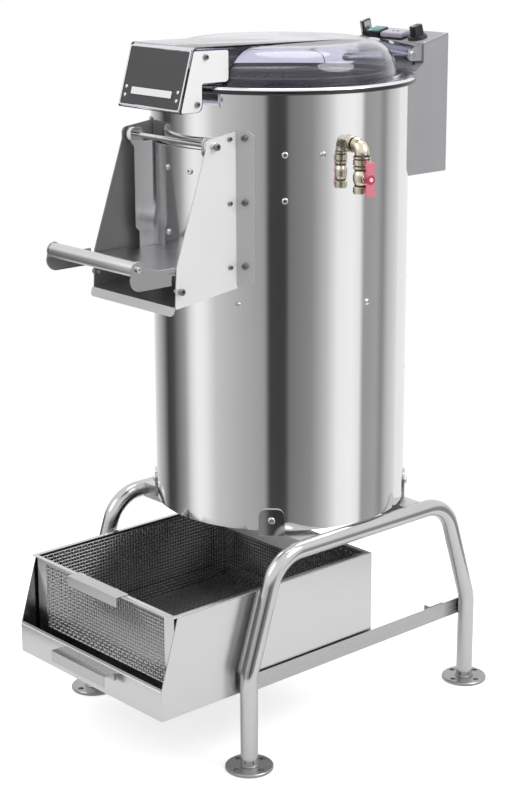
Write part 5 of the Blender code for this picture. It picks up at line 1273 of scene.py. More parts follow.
@dataclass
class Tray:
    """The sliding catch tray and its bent pull."""

    half: float = 0.1993
    wall: float = 0.0015
    front: float = -0.444
    back: float = 0.041
    foot: float = 0.1315
    lip: float = 0.1845

    def build(self) -> None:
        """Dresses the tray."""
        dress("catch_tray", tub_sheet("tray_tub", "catch_tray", 0.42), 0.0005)
        # The pull takes the darker copy of the tray's steel: painted shade.
        dress("tray_handle", PULL_STEEL_SHADED, 0.0007)
        # The hem's steel is lighter than the tray's: a painted highlight along the lip's rolled edge.
        hem = Blank()
        hem.pipe([Vector((x, self.front + 0.0008, self.lip - 0.0008)) for x in (-self.half + 0.0015, self.half - 0.0015)],
                 0.0014, 10)
        set_piece(hem, "tray_lip_hem", HEM_STEEL, "tray")
        spots = [(Vector((x, self.front - 0.0023, 0.1715)), Vector((0, -1, 0))) for x in (-0.060, 0.060)]
        set_piece(screws(spots, Head.RIVET, 0.0024), "tray_pull_rivets", BOLT_STEEL, "tray")


def tub_sheet(name: str, node: str, painted_shade_share: float) -> TubSheet:
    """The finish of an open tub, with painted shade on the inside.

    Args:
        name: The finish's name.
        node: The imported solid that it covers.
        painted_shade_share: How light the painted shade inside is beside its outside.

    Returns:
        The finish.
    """
    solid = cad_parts[node]
    low, high = (Vector(corner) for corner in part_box(node))
    middle = solid.matrix_world.inverted() @ ((low + high) / 2)
    return TubSheet(name, "tray_steel", TRAY_STEEL.colour, TRAY_STEEL.roughness, TRAY_STEEL.spread, TRAY_STEEL.depth,
                    Grain.ALONG_Y, 0.02, 4.0, 0.97, middle=tuple(middle), painted_shade_share=painted_shade_share)


@dataclass
class Basket:
    """The mesh basket that hangs in the tray."""

    half: float = 0.1899
    front: float = -0.4077
    back: float = 0.0282
    foot: float = 0.1539
    top: float = 0.3010
    pitch: float = 0.0063
    wire: float = 0.00088

    def build(self) -> None:
        """Makes the woven tub and dresses the sheet parts."""
        dress("basket_body", tub_sheet("basket_sheet", "basket_body", 0.42), 0.0005)
        # The pull takes the darker copy of the tray's steel: painted shade.
        dress("basket_handle", PULL_STEEL_SHADED, 0.0007)
        spots = [(Vector((x, self.front - 0.0022, 0.3080)), Vector((0, -1, 0))) for x in (-0.056, 0.040)]
        set_piece(screws(spots, Head.RIVET, 0.0028), "basket_rivets", BOLT_STEEL, "basket")
        low, high = Vector((-self.half, self.front, self.foot)), Vector((self.half, self.back, self.top))
        across, along, up = Vector((1, 0, 0)), Vector((0, 1, 0)), Vector((0, 0, 1))
        width, length, rise = high.x - low.x, high.y - low.y, high.z - low.z
        walls = ((low, across, width, up, rise, -along), (Vector((low.x, high.y, low.z)), across, width, up, rise, along),
                 (low, along, length, up, rise, -across), (Vector((high.x, low.y, low.z)), along, length, up, rise, across))
        ground = ((low, across, width, along, length, -up),)
        # The floor weave takes the darker wire: painted shade.
        for name, panels, finish, nodes in (("basket_weave", walls, WIRE, ["basket_mesh"]),
                                            ("basket_floor_weave", ground, WIRE_SHADED, [])):
            points: list[tuple[float, float, float]] = []
            faces: list[tuple[int, ...]] = []
            for corner, first, first_length, second, second_length, out in panels:
                self.weave(points, faces, corner, first, first_length, second, second_length, out)
                self.weave(points, faces, corner, second, second_length, first, first_length, -out)
            mesh = bpy.data.meshes.new(name)
            mesh.from_pydata(points, [], faces)
            made = Blank()
            made.body.from_mesh(mesh)
            bpy.data.meshes.remove(mesh)
            set_piece(made, name, finish, "basket", nodes, sharp=80)

    def weave(self, points: list, faces: list, corner: Vector, run: Vector, run_length: float, step: Vector,
              step_length: float, out: Vector) -> None:
        """Adds the wires of one direction in one panel.

        Args:
            points: The mesh's points so far.
            faces: The mesh's faces so far.
            corner: The panel's first corner.
            run: The way the wires run.
            run_length: Their length.
            step: The way from wire to wire.
            step_length: The panel's size that way.
            out: The side that the first crossing bows to.
        """
        wires = round(step_length / self.pitch)
        knots = round(run_length / self.pitch)
        for row in range(wires + 1):
            base = corner + step * (step_length * row / wires)
            first = len(points)
            for knot in range(knots + 1):
                bow = self.wire * (1 if (row + knot) % 2 else -1)
                middle = base + run * (run_length * knot / knots) + out * bow
                for way in (out, step, -out, -step):
                    points.append(tuple(middle + way * self.wire))
            for knot in range(knots):
                here = first + knot * 4
                for k in range(4):
                    faces.append((here + k, here + (k + 1) % 4, here + 4 + (k + 1) % 4, here + 4 + k))
            faces.append((first, first + 3, first + 2, first + 1))
            last = first + knots * 4
            faces.append((last, last + 1, last + 2, last + 3))


# Drum

@dataclass
class Drum:
    """The polished drum with its rolled rim, cover and screws."""

    radius: float = 0.225
    wall: float = 0.002
    foot: float = 0.3844
    top: float = 1.1409
    steps: int = 192
    window_half: float = 0.080
    window_low: float = 0.8444
    window_high: float = 1.0204
    window_corner: float = 0.012
    rim_radius: float = 0.2362
    rim_inner: float = 0.2035
    rim_top: float = 1.1432
    rim_drop: float = 0.0118
    rim_lip: float = 0.011
    sheet: float = 0.002
    curl: float = 0.0055
    cover_half: float = math.radians(34) + 0.018 / 0.2253
    cover_low: float = 0.6024
    cover_high: float = 0.7884
    screw_spots: tuple[tuple[float, float], ...] = (
        (49.8, 1.034), (66.0, 1.033), (49.8, 0.958), (88.7, 0.776), (29.5, 0.781))

    def build(self) -> None:
        """Makes the drum."""
        self.shell()
        self.rim()
        dress("base_plate", INNER_STEEL)
        self.cover()
        spots = [(around(self.radius, math.radians(a), z), around(1, math.radians(a))) for a, z in self.screw_spots]
        set_piece(screws(spots, Head.DOME, 0.0054), "drum_screws", BOLT_STEEL)
        tabs = [(around(self.radius + 0.0038, math.radians(a), 0.4040), around(1, math.radians(a)))
                for a in (44, -44, 136, -136)]
        set_piece(screws(tabs, Head.DOME, 0.0066), "drum_tab_bolts", BOLT_STEEL)

    def shell(self) -> None:
        """Makes the wall with its openings."""
        inner = self.radius - self.wall
        wall = Blank().turn([(self.radius, self.top), (inner, self.top), (inner, self.foot),
                             (self.radius, self.foot)], self.steps)
        half, corner = self.window_half, self.window_corner
        window = fillet(box_outline((-half, self.window_low), (half, self.window_high)), [corner] * 4)
        wall.carve(Blank().plate(window, -self.radius - 0.02, -self.radius * 0.7, Axis.Y))
        wall.carve(Blank().arc(inner - 0.02, self.radius + 0.02, math.pi, math.radians(34), 0.6204, 0.7704, 64))
        piece = set_piece(wall, "drum_wall", POLISHED, stands_for=["drum_shell"])
        true_round(piece.data)

    def rim(self) -> None:
        """Makes the rolled rim, and a near-black band of painted shade over its lower face."""
        top, under, sheet = self.rim_top, self.rim_top - self.sheet, self.sheet
        outer = fillet([(self.rim_inner, under - self.rim_lip), (self.rim_inner, top), (self.rim_radius, top),
                        (self.rim_radius, top - self.rim_drop),
                        (self.rim_radius - self.curl - sheet, top - self.rim_drop)],
                       [0, sheet, self.curl, self.curl, 0], closed=False)
        small = self.curl - sheet
        inner = fillet([(self.rim_radius - self.curl - sheet, top - self.rim_drop + sheet),
                        (self.rim_radius - sheet, top - self.rim_drop + sheet), (self.rim_radius - sheet, under),
                        (self.rim_inner + sheet, under), (self.rim_inner + sheet, under - self.rim_lip)],
                       [0, small, small, 0, 0], closed=False)
        set_piece(Blank().turn(outer + inner, self.steps), "rolled_rim", RIM_STEEL, stands_for=["top_rim"])
        # Painted shade: a near-black band laid over the lower face of the rim.
        low, high = top - self.rim_drop + 0.0002, top - 0.0042
        skin = self.rim_radius + 0.0002
        profile = fillet([(skin - 0.006, low), (skin, low), (skin, high), (skin - 0.006, high)], [0, 0.004, 0.0003, 0])
        set_piece(Blank().turn(profile, self.steps), "rim_painted_shade", RIM_SHADE_BAND)

    def cover(self) -> None:
        """Makes the rear service cover with its screws."""
        inner = self.radius + GAP
        plate = Blank().arc(inner, inner + 0.0015, math.pi, self.cover_half, self.cover_low, self.cover_high, 72)
        set_piece(plate, "rear_cover", DOOR_STEEL, stands_for=["service_cover"], bevel=0.0004)
        spots = []
        for share in (-0.93, -0.31, 0.31, 0.93):
            for z in (self.cover_low + 0.009, self.cover_high - 0.009):
                angle = math.pi + share * self.cover_half
                spots.append((around(inner + 0.0015, angle, z), around(1, angle)))
        set_piece(screws(spots, Head.DOME, 0.0040), "rear_cover_screws", BOLT_STEEL)


def true_round(mesh: bpy.types.Mesh) -> None:
    """Gives a round wall the shading of a true cylinder about the drum's axis.

    Args:
        mesh: The wall's mesh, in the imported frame.
    """
    normals = [Vector((0, 0, 1))] * len(mesh.loops)
    for face in mesh.polygons:
        for k in face.loop_indices:
            spot = mesh.vertices[mesh.loops[k].vertex_index].co - SHIFT
            radial = Vector((spot.x, spot.y, 0)).normalized()
            facing_out = face.normal.dot(radial)
            normals[k] = radial * (1 if facing_out > 0 else -1) if abs(facing_out) > 0.9 else face.normal.copy()
    mesh.normals_split_custom_set(normals)


@dataclass
class Chamber:
    """What turns inside the drum, and what drives it."""

    disc_radius: float = 0.203
    disc_foot: float = 0.8062
    disc_thick: float = 0.012
    wave: float = 0.009

    def build(self) -> None:
        """Makes the disc and dresses the drive."""
        self.disc()
        dress("abrasive_liner", CORUNDUM)
        for node in ("chamber_floor", "bearing_housing", "motor", "driven_pulley"):
            dress(node, ALUMINIUM)
        for node in ("main_shaft", "drain_pipe", "motor_mount", "motor_pulley", "bearing_lower", "bearing_upper"):
            dress(node, INNER_STEEL)
        dress("drive_belt", RUBBER)

    def disc(self) -> None:
        """Makes the wavy abrasive disc with its nut."""
        made = Blank()
        rows = []
        rings, steps = 24, 96
        for ring in range(rings + 1):
            radius = self.disc_radius * max(ring, 0.02) / rings
            share = radius / self.disc_radius
            row = []
            for i in range(steps):
                angle = math.tau * i / steps
                grit = 0.0005 * math.sin(i * 12.9898 + ring * 78.233)
                rise = self.disc_thick + self.wave * share * (1 + math.cos(3 * angle)) / 2 + grit
                row.append(Vector((radius * math.cos(angle), radius * math.sin(angle), self.disc_foot + rise)))
            rows.append(row)
        foot = [Vector((point.x, point.y, self.disc_foot)) for point in rows[-1]]
        made.strip(rows + [foot], caps=True)
        made.add(Blank().turn([(0, 0.7912), (0.032, 0.7912), (0.032, 0.812), (0, 0.812)], 48))
        set_piece(made, "disc_plate", ABRASIVE, "disc", ["abrasive_disc"], sharp=50)
        nut = Blank().turn([(0, 0.816), (0.021, 0.816), (0.021, 0.8195), (0, 0.8195)], 40)
        nut.add(Blank().plate(circle(0.0155, 6), 0.819, 0.8240).soften(0.001, 2))
        set_piece(nut, "disc_nut", BOLT_STEEL, "disc")


# Chute and door

@dataclass
class Chute:
    """Discharge chute: two side plates, the floor with its lip and the hinge rod."""

    half: float = 0.1087
    sheet: float = 0.002
    rod_y: float = -0.2440
    rod_z: float = 1.0506
    rod_radius: float = 0.0045
    head_radius: float = 0.0075
    pin_y: float = -0.3205
    pin_z: float = 0.8220

    def build(self) -> None:
        """Makes the chute."""
        dress("chute_plate_right", CHUTE_STEEL, 0.0005)
        # The left plate takes the darker copy of the chute's steel: painted shade inside the chute.
        dress("chute_plate_left", CHUTE_STEEL_SHADED, 0.0005)
        dress("chute_floor", FLOOR_STEEL, 0.0006)
        self.rod()
        self.fasteners()

    def rod(self) -> None:
        """Makes the rod and its two domed spacers."""
        reach = self.half + self.sheet + GAP
        bar = Blank().plate(circle(self.rod_radius, 32, (self.rod_y, self.rod_z)), -reach - 0.002, reach + 0.002, Axis.X)
        for side in HALVES:
            head = Blank().turn(fillet([(0, 0), (self.head_radius, 0), (self.head_radius, 0.004), (0, 0.004)],
                                       [0, 0, 0.0016, 0]), 32)
            bar.add(head, facing(Vector((side * reach, self.rod_y, self.rod_z)), Vector((side, 0, 0))))
        set_piece(bar, "hinge_rod", BOLT_STEEL, stands_for=["door_hinge_rod"])
        for word, side in (("right", 1), ("left", -1)):
            low, high = 0.0946, 0.1084
            profile = fillet([(0.0048, 0), (0.012, 0), (0.012, high - low), (0.0048, high - low)],
                             [0, 0, 0.0055, 0], steps=10)
            bush = Blank().turn(profile, 40)
            set_piece(Blank().add(bush, facing(Vector((side * high, self.rod_y, self.rod_z)), Vector((-side, 0, 0)))),
                      "rod_spacer_" + word, NYLON, stands_for=["hinge_bush_" + word])
            washer = Blank().turn([(0.0118, 0), (0.0136, 0), (0.0136, 0.0035), (0.0118, 0.0035)], 40)
            set_piece(Blank().add(washer, facing(Vector((side * high, self.rod_y, self.rod_z)), Vector((-side, 0, 0)))),
                      "rod_washer_" + word, SCREW_DARK)

    def fasteners(self) -> None:
        """Sets the screws of the flanges and plates."""
        on_drum = 0.2273
        spots, small, sockets = [], [], []
        for side in HALVES:
            angle = side * math.asin(0.124 / on_drum)
            for z in (1.061, 0.955, 0.848):
                spots.append((around(on_drum, angle, z), around(1, angle)))
                small.append((Vector((side * (self.half + self.sheet), -0.212, z - 0.001)), Vector((side, 0, 0))))
            for y, z in ((self.rod_y, self.rod_z), (self.pin_y, self.pin_z)):
                reach = self.half + self.sheet + (0.0043 if z > 1 else 0.003)
                sockets.append((Vector((side * reach, y, z)), Vector((side, 0, 0))))
        set_piece(screws(spots, Head.SOCKET, 0.0056), "chute_flange_screws", SCREW_DARK)
        set_piece(screws(small, Head.SOCKET, 0.0040), "chute_plate_screws", SCREW_DARK)
        set_piece(screws(sockets, Head.SOCKET, 0.0058), "chute_side_bolts", SCREW_DARK)


@dataclass
class Door:
    """The swing door with its shelf, arms and grip."""

    inner: float = 0.2286
    sheet: float = 0.002
    half: float = 0.094
    low: float = 0.8324
    high: float = 1.0376
    rod_y: float = -0.2440
    rod_z: float = 1.0506
    eye: float = 0.0125
    grip_y: float = -0.4085
    grip_z: float = 0.8706
    grip_radius: float = 0.0125
    grip_reach: float = 0.1115
    arm_x: float = 0.1118
    arm_thick: float = 0.0022
    shelf_top: float = 0.8564
    neck_y: float = -0.332
    front_y: float = -0.346

    def build(self) -> None:
        """Makes the door."""
        self.plate()
        dress("door_seal", RUBBER)
        self.shelf()
        self.grip()
        spots = []
        outer = self.inner + self.sheet
        for x in HALVES:
            angle = x * math.asin(0.030 / outer)
            spots += [(around(outer, angle, z), around(1, angle)) for z in (1.000, 0.890)]
        set_piece(screws(spots, Head.DOME, 0.0056), "door_screws", BOLT_STEEL, "door")

    def plate(self) -> None:
        """Makes the curved plate with its side flanges and ears."""
        outer = self.inner + self.sheet
        made = Blank().arc(self.inner, outer, 0, math.asin((self.half - 0.001) / self.inner), self.low, self.high, 56)
        back = -self.inner * math.cos(math.asin(self.half / self.inner)) - 0.001
        eye = self.eye
        outline = fillet([(back, self.low), (-0.2420, self.low), (-0.2420, 0.8834), (-0.2500, 0.8914),
                          (-0.2500, self.rod_z - eye - 0.008), (self.rod_y - eye, self.rod_z - eye),
                          (self.rod_y - eye, self.rod_z + eye),
                          (self.rod_y + eye, self.rod_z + eye), (self.rod_y + eye, self.rod_z - eye), (back, self.high)],
                         [0, 0.003, 0.002, 0.002, 0.003, 0.003, eye / 2, eye / 2, eye / 4, 0])
        for side in HALVES:
            low, high = sorted((side * (self.half - self.sheet), side * self.half))
            made.plate(outline, low, high, Axis.X)
        set_piece(made, "swing_door", DOOR_STEEL, "door", ["discharge_door"], bevel=0.0004)

    def shelf(self) -> None:
        """Makes the shelf and the two arms that end in round eyes."""
        top, low = self.shelf_top, self.shelf_top - self.sheet
        half, rear, narrow = 0.1035, 0.0910, -0.2540
        arm = self.arm_x + self.arm_thick
        curve = [around(self.inner + self.sheet + GAP, math.radians(a)) for a in range(-23, 24, 2)]
        outline = [(rear, narrow), (half, narrow), (half, self.neck_y), (arm, self.neck_y), (arm, self.front_y),
                   (-arm, self.front_y), (-arm, self.neck_y), (-half, self.neck_y), (-half, narrow), (-rear, narrow)]
        outline += [(point.x, point.y) for point in curve]
        made = Blank().plate(outline, low, top)
        made.plate(box_outline((-half, self.neck_y), (half, self.neck_y + self.sheet)), low - 0.012, low + 0.0005)
        for side in HALVES:
            near, far = sorted((side * self.arm_x, side * arm))
            made.plate(self.arm_outline(top), near, far, Axis.X)
        set_piece(made, "door_shelf_and_arms", ARM_STEEL, "door", ["door_handle_bracket"], bevel=0.0006)
        spots = [(Vector((side * arm, self.grip_y, self.grip_z)), Vector((side, 0, 0))) for side in HALVES]
        set_piece(screws(spots, Head.SOCKET, 0.0048), "grip_end_screws", BOLT_STEEL, "door")

    def arm_outline(self, top: float) -> Outline:
        """The arm seen from the side.

        Args:
            top: The shelf's upper face.

        Returns:
            (y, z) points.
        """
        eye, foot, belly, middle = 0.0138, top - 0.0214, 0.0205, self.neck_y - 0.0715
        points = fillet([(self.neck_y, top + 0.0075), (self.neck_y, top - 0.0055), (self.neck_y - 0.008, top - 0.0055),
                         (self.neck_y - 0.008, foot)], [0.001, 0.001, 0.002, 0], closed=False, steps=4)
        for i in range(13):
            turn = -math.pi / 2 * (1 + i / 12)
            points.append((middle + belly * math.cos(turn), foot + belly + belly * math.sin(turn)))
        start, end = math.radians(200), math.radians(50)
        points += [(self.grip_y + eye * math.cos(start + (end - start) * i / 22),
                    self.grip_z + eye * math.sin(start + (end - start) * i / 22)) for i in range(23)]
        points += fillet([points[-1], (self.neck_y - 0.056, top + 0.0145), (self.neck_y - 0.034, top + 0.0075),
                          (self.neck_y - 0.002, top + 0.0075)], [0, 0.010, 0.006, 0], closed=False, steps=6)[1:]
        return points

    def grip(self) -> None:
        """Makes the round grip with rounded ends."""
        radius, reach = self.grip_radius, self.grip_reach
        profile = fillet([(0, 0), (radius, 0), (radius, reach * 2), (0, reach * 2)], [0, 0.0015, 0.0015, 0])
        bar = Blank().turn(profile, 56)
        bar.move(facing(Vector((-reach, self.grip_y, self.grip_z)), Vector((1, 0, 0))))
        set_piece(bar, "grip_bar", SATIN, "door", ["door_handle_grip"])


# Lid

@dataclass
class Lid:
    """The clear lid with its straight ridge, the nose cover and the hinge."""

    base: float = 1.1435
    height: float = 0.060
    radius: float = 0.203
    flat: float = 0.148
    skirt: float = 0.008
    wall: float = 0.004
    steps: int = 128
    ridge_half: float = 0.081
    ridge_drop: float = 0.0012
    nose_top: float = -0.260
    nose_foot: float = -0.291
    nose_drop: float = 0.040
    nose_rise: float = 0.005
    cheek: float = -0.243
    slope_y: float = 0.150
    back: float = 0.255
    back_drop: float = 0.022
    hinge_y: float = 0.2430
    hinge_z: float = 1.1662

    def build(self) -> None:
        """Makes the lid."""
        self.shell()
        self.nose()
        self.hinge()

    def dome(self, shrink: float, foot: float) -> Blank:
        """A round dome with a flat top and a rolled shoulder.

        Args:
            shrink: How far inside the outer face.
            foot: Its underside.

        Returns:
            The blank.
        """
        top = self.base + self.height - shrink
        skirt = self.base + self.skirt
        radius, flat = self.radius - shrink, self.flat - shrink / 2
        points = [(0, foot), (radius, foot), (radius, skirt)]
        for i in range(1, 15):
            turn = math.pi / 2 * i / 14
            points.append((flat + (radius - flat) * math.cos(turn), skirt + (top - skirt) * math.sin(turn)))
        return Blank().turn(points + [(0, top)], self.steps)

    def ridge(self, shrink: float, extra: float) -> Blank:
        """The straight ridge from the nose to the hinge.

        Args:
            shrink: How far inside the outer face.
            extra: How far it reaches below the outer foot, to open the shell.

        Returns:
            The blank.
        """
        top = self.base + self.height - self.ridge_drop - shrink
        nose_top = self.base + self.height + self.nose_rise - shrink
        lean = (self.nose_foot - self.nose_top) / (self.height + self.nose_rise + self.nose_drop)
        nose_z = self.base - self.nose_drop - extra
        front_foot = self.nose_foot + shrink + lean * extra
        front_top = self.nose_top + shrink - lean * shrink
        back, back_top = self.back - shrink, self.base + self.height - self.back_drop - shrink
        foot = self.base + 0.0045 - extra
        if extra:
            corners = [(front_foot, nose_z), (back, nose_z)]
            radii = [0.0, 0.0]
        else:
            corners = [(front_foot, nose_z), (self.cheek, nose_z), (self.cheek, foot), (back, foot)]
            radii = [0.002, 0.012, 0.0, 0.0]
        corners += [(back - 0.001, back_top), (self.slope_y, top), (front_top, nose_top)]
        radii += [0.012, 0.030, 0.006]
        return Blank().plate(fillet(corners, radii), -self.ridge_half + shrink, self.ridge_half - shrink, Axis.X)

    def roll_ridge(self, shell: Blank) -> None:
        """Rounds the ridge's long upper edges.

        Args:
            shell: The outer form.
        """
        edges = [edge for edge in shell.weld().body.edges if edge.calc_face_angle(0) > 1.2
                 and all(abs(abs(vert.co.x) - self.ridge_half) < WELD and vert.co.z > self.base + 0.020
                         for vert in edge.verts)]
        bmesh.ops.bevel(shell.body, geom=edges, offset=0.005, segments=4, affect="EDGES", profile=0.5,
                        clamp_overlap=True)

    def shell(self) -> None:
        """Makes the one-piece clear shell."""
        outer = self.dome(0, self.base).carve(self.ridge(0, 0), "UNION")
        foot = Blank().turn([(self.flat, self.base), (0.211, self.base), (0.211, self.base + 0.004),
                             (self.flat, self.base + 0.004)], self.steps)
        outer.carve(foot, "UNION")
        self.roll_ridge(outer)
        inner = self.dome(self.wall, self.base - 0.04).carve(self.ridge(self.wall, 0.04), "UNION")
        outer.carve(inner)
        hole = Blank().plate(circle(0.0046, 24, (self.hinge_y, self.hinge_z)), -0.1, 0.1, Axis.X)
        outer.carve(hole)
        set_piece(outer, "clear_lid_shell", CLEAR, "lid", ["lid_dome"], sharp=30)

    def on_nose(self, x: float, rise: float, out: float) -> tuple[Vector, Vector]:
        """A place on the nose's leaning front.

        Args:
            x: Along X.
            rise: Along the slope from its foot.
            out: Height over the moulding.

        Returns:
            The place and the way that the front looks.
        """
        foot = Vector((0, self.nose_foot, self.base - self.nose_drop))
        up = (Vector((0, self.nose_top, self.base + self.height + self.nose_rise)) - foot).normalized()
        normal = Vector((0, -up.z, up.y))
        return foot + up * rise + normal * out + Vector((x, 0, 0)), normal

    def nose(self) -> None:
        """Makes the nose's frame, dark plate and bare strip, and sets its bolts and lining."""
        spot, normal = self.on_nose(0, 0, 0)
        place = Matrix.Translation(spot) @ Matrix.Rotation(math.atan2(-normal.z, -normal.y), 4, "X")
        low, high, half, border = 0.0030, 0.1050, 0.0790, 0.0030
        frame_hole = fillet(box_outline((-half + border, low + border), (half - border, high - border)), [0.003] * 4)
        ring = Blank().plate(fillet(box_outline((-half, low), (half, high)), [0.005] * 4), -0.0022, -GAP, Axis.Y)
        ring.carve(Blank().plate(frame_hole, -0.01, 0.01, Axis.Y))
        set_piece(ring.move(place), "nose_frame", RIM_STEEL, "lid", ["nose_cover_frame"], bevel=0.0004)
        inset = border + 0.0006
        panel = Blank().plate(fillet(box_outline((-half + inset, low + inset), (half - inset, high - inset)),
                                     [0.0025] * 4), -0.0014, -GAP, Axis.Y)
        set_piece(panel.move(place), "nose_panel", COVER_PAINT, "lid", ["nose_cover_panel"], bevel=0.0003)
        edge = Blank().plate(box_outline((-0.0535, 0.0223), (0.0535, 0.0367)), -0.0018, -0.0013, Axis.Y)
        set_piece(edge.move(place), "strip_outline", MARK, "lid")
        strip = Blank().plate(fillet(box_outline((-0.0522, 0.0236), (0.0522, 0.0354)), [0.001] * 4), -0.0026, -0.0017,
                              Axis.Y)
        set_piece(strip.move(place), "nose_strip", NYLON, "lid", ["nose_cover_strip"], bevel=0.0002)
        spots = [self.on_nose(x, rise, 0.0015) for x in (-0.067, 0.067) for rise in (0.0207, 0.0346)]
        set_piece(screws(spots, Head.DOME, 0.0033), "nose_cover_bolts", HEM_STEEL, "lid")
        cheek = [(Vector((side * (self.ridge_half + 0.0008), y, z)), Vector((side, 0, 0)))
                 for side in HALVES for y, z in ((-0.237, 1.192), (-0.256, 1.117))]
        set_piece(screws(cheek, Head.SOCKET, 0.0046), "nose_cheek_bolts", SCREW_DARK, "lid")
        self.lining()

    def lining(self) -> None:
        """Lines the nose behind its plate, lays painted dark reflection lines along the ridge's junctions, and seals
        the dome's foot.
        """
        high = self.base + self.height + self.nose_rise - self.wall - 0.001
        front_high = self.nose_top + self.wall + 0.001
        cheek = [(-0.2890, 1.1050), (-0.2450, 1.1050), (-0.2450, 1.1500), (-0.1880, 1.1500), (-0.1880, 1.2010),
                 (-0.2605, 1.2025)]
        made = Blank()
        for side in HALVES:
            near, far = sorted((side * (self.ridge_half + GAP), side * (self.ridge_half + 0.0009)))
            made.plate(fillet(cheek, [0.003, 0.012, 0.004, 0.006, 0.004, 0.003]), near, far, Axis.X)
        set_piece(made, "nose_cheek_plates", NYLON, "lid", bevel=0.0002)
        # Painted reflection: thin navy pipes along the ridge's junctions with the dome stand in for the dark line of
        # the clear moulding.
        dark_lines = Blank()
        for side in HALVES:
            path = []
            for i in range(15):
                turn = math.pi / 2 * i / 14
                reach = self.flat + (self.radius - self.flat) * math.cos(turn)
                rise = self.base + self.skirt + (self.height - self.skirt - 0.0012) * math.sin(turn)
                path.append(Vector((side * (self.ridge_half + 0.0004), -math.sqrt(reach ** 2 - self.ridge_half ** 2),
                                    rise)))
            dark_lines.pipe(path, 0.0010, 8)
        set_piece(dark_lines, "ridge_dark_lines", NAVY, "lid", sharp=80)
        top = Blank().plate(box_outline((-0.0740, front_high + 0.002), (0.0740, -0.168)), high - 0.0022, high - 0.0014)
        set_piece(top, "nose_top_lining", CHUTE_STEEL_SHADED, "lid")
        seal = Blank().turn([(0.188, self.base + 0.0006), (0.1975, self.base + 0.0006), (0.1975, self.base + 0.0095),
                             (0.1945, self.base + 0.0110), (0.188, self.base + 0.0110)], self.steps)
        set_piece(seal, "lid_foot_seal", NAVY, "lid")

    def hinge(self) -> None:
        """Dresses the hinge and sets its bolts."""
        dress("lid_hinge_bracket", SATIN, 0.0005)
        pin = Blank().plate(circle(0.004, 28, (self.hinge_y, self.hinge_z)), -0.0868, 0.0868, Axis.X)
        for side in HALVES:
            head = Blank().turn(fillet([(0, 0), (0.0065, 0), (0.0065, 0.0025), (0, 0.0025)], [0, 0, 0.001, 0]), 28)
            pin.add(head, facing(Vector((side * 0.0851, self.hinge_y, self.hinge_z)), Vector((side, 0, 0))))
        set_piece(pin, "hinge_pin", BOLT_STEEL, stands_for=["lid_hinge_pin"])


# Control box

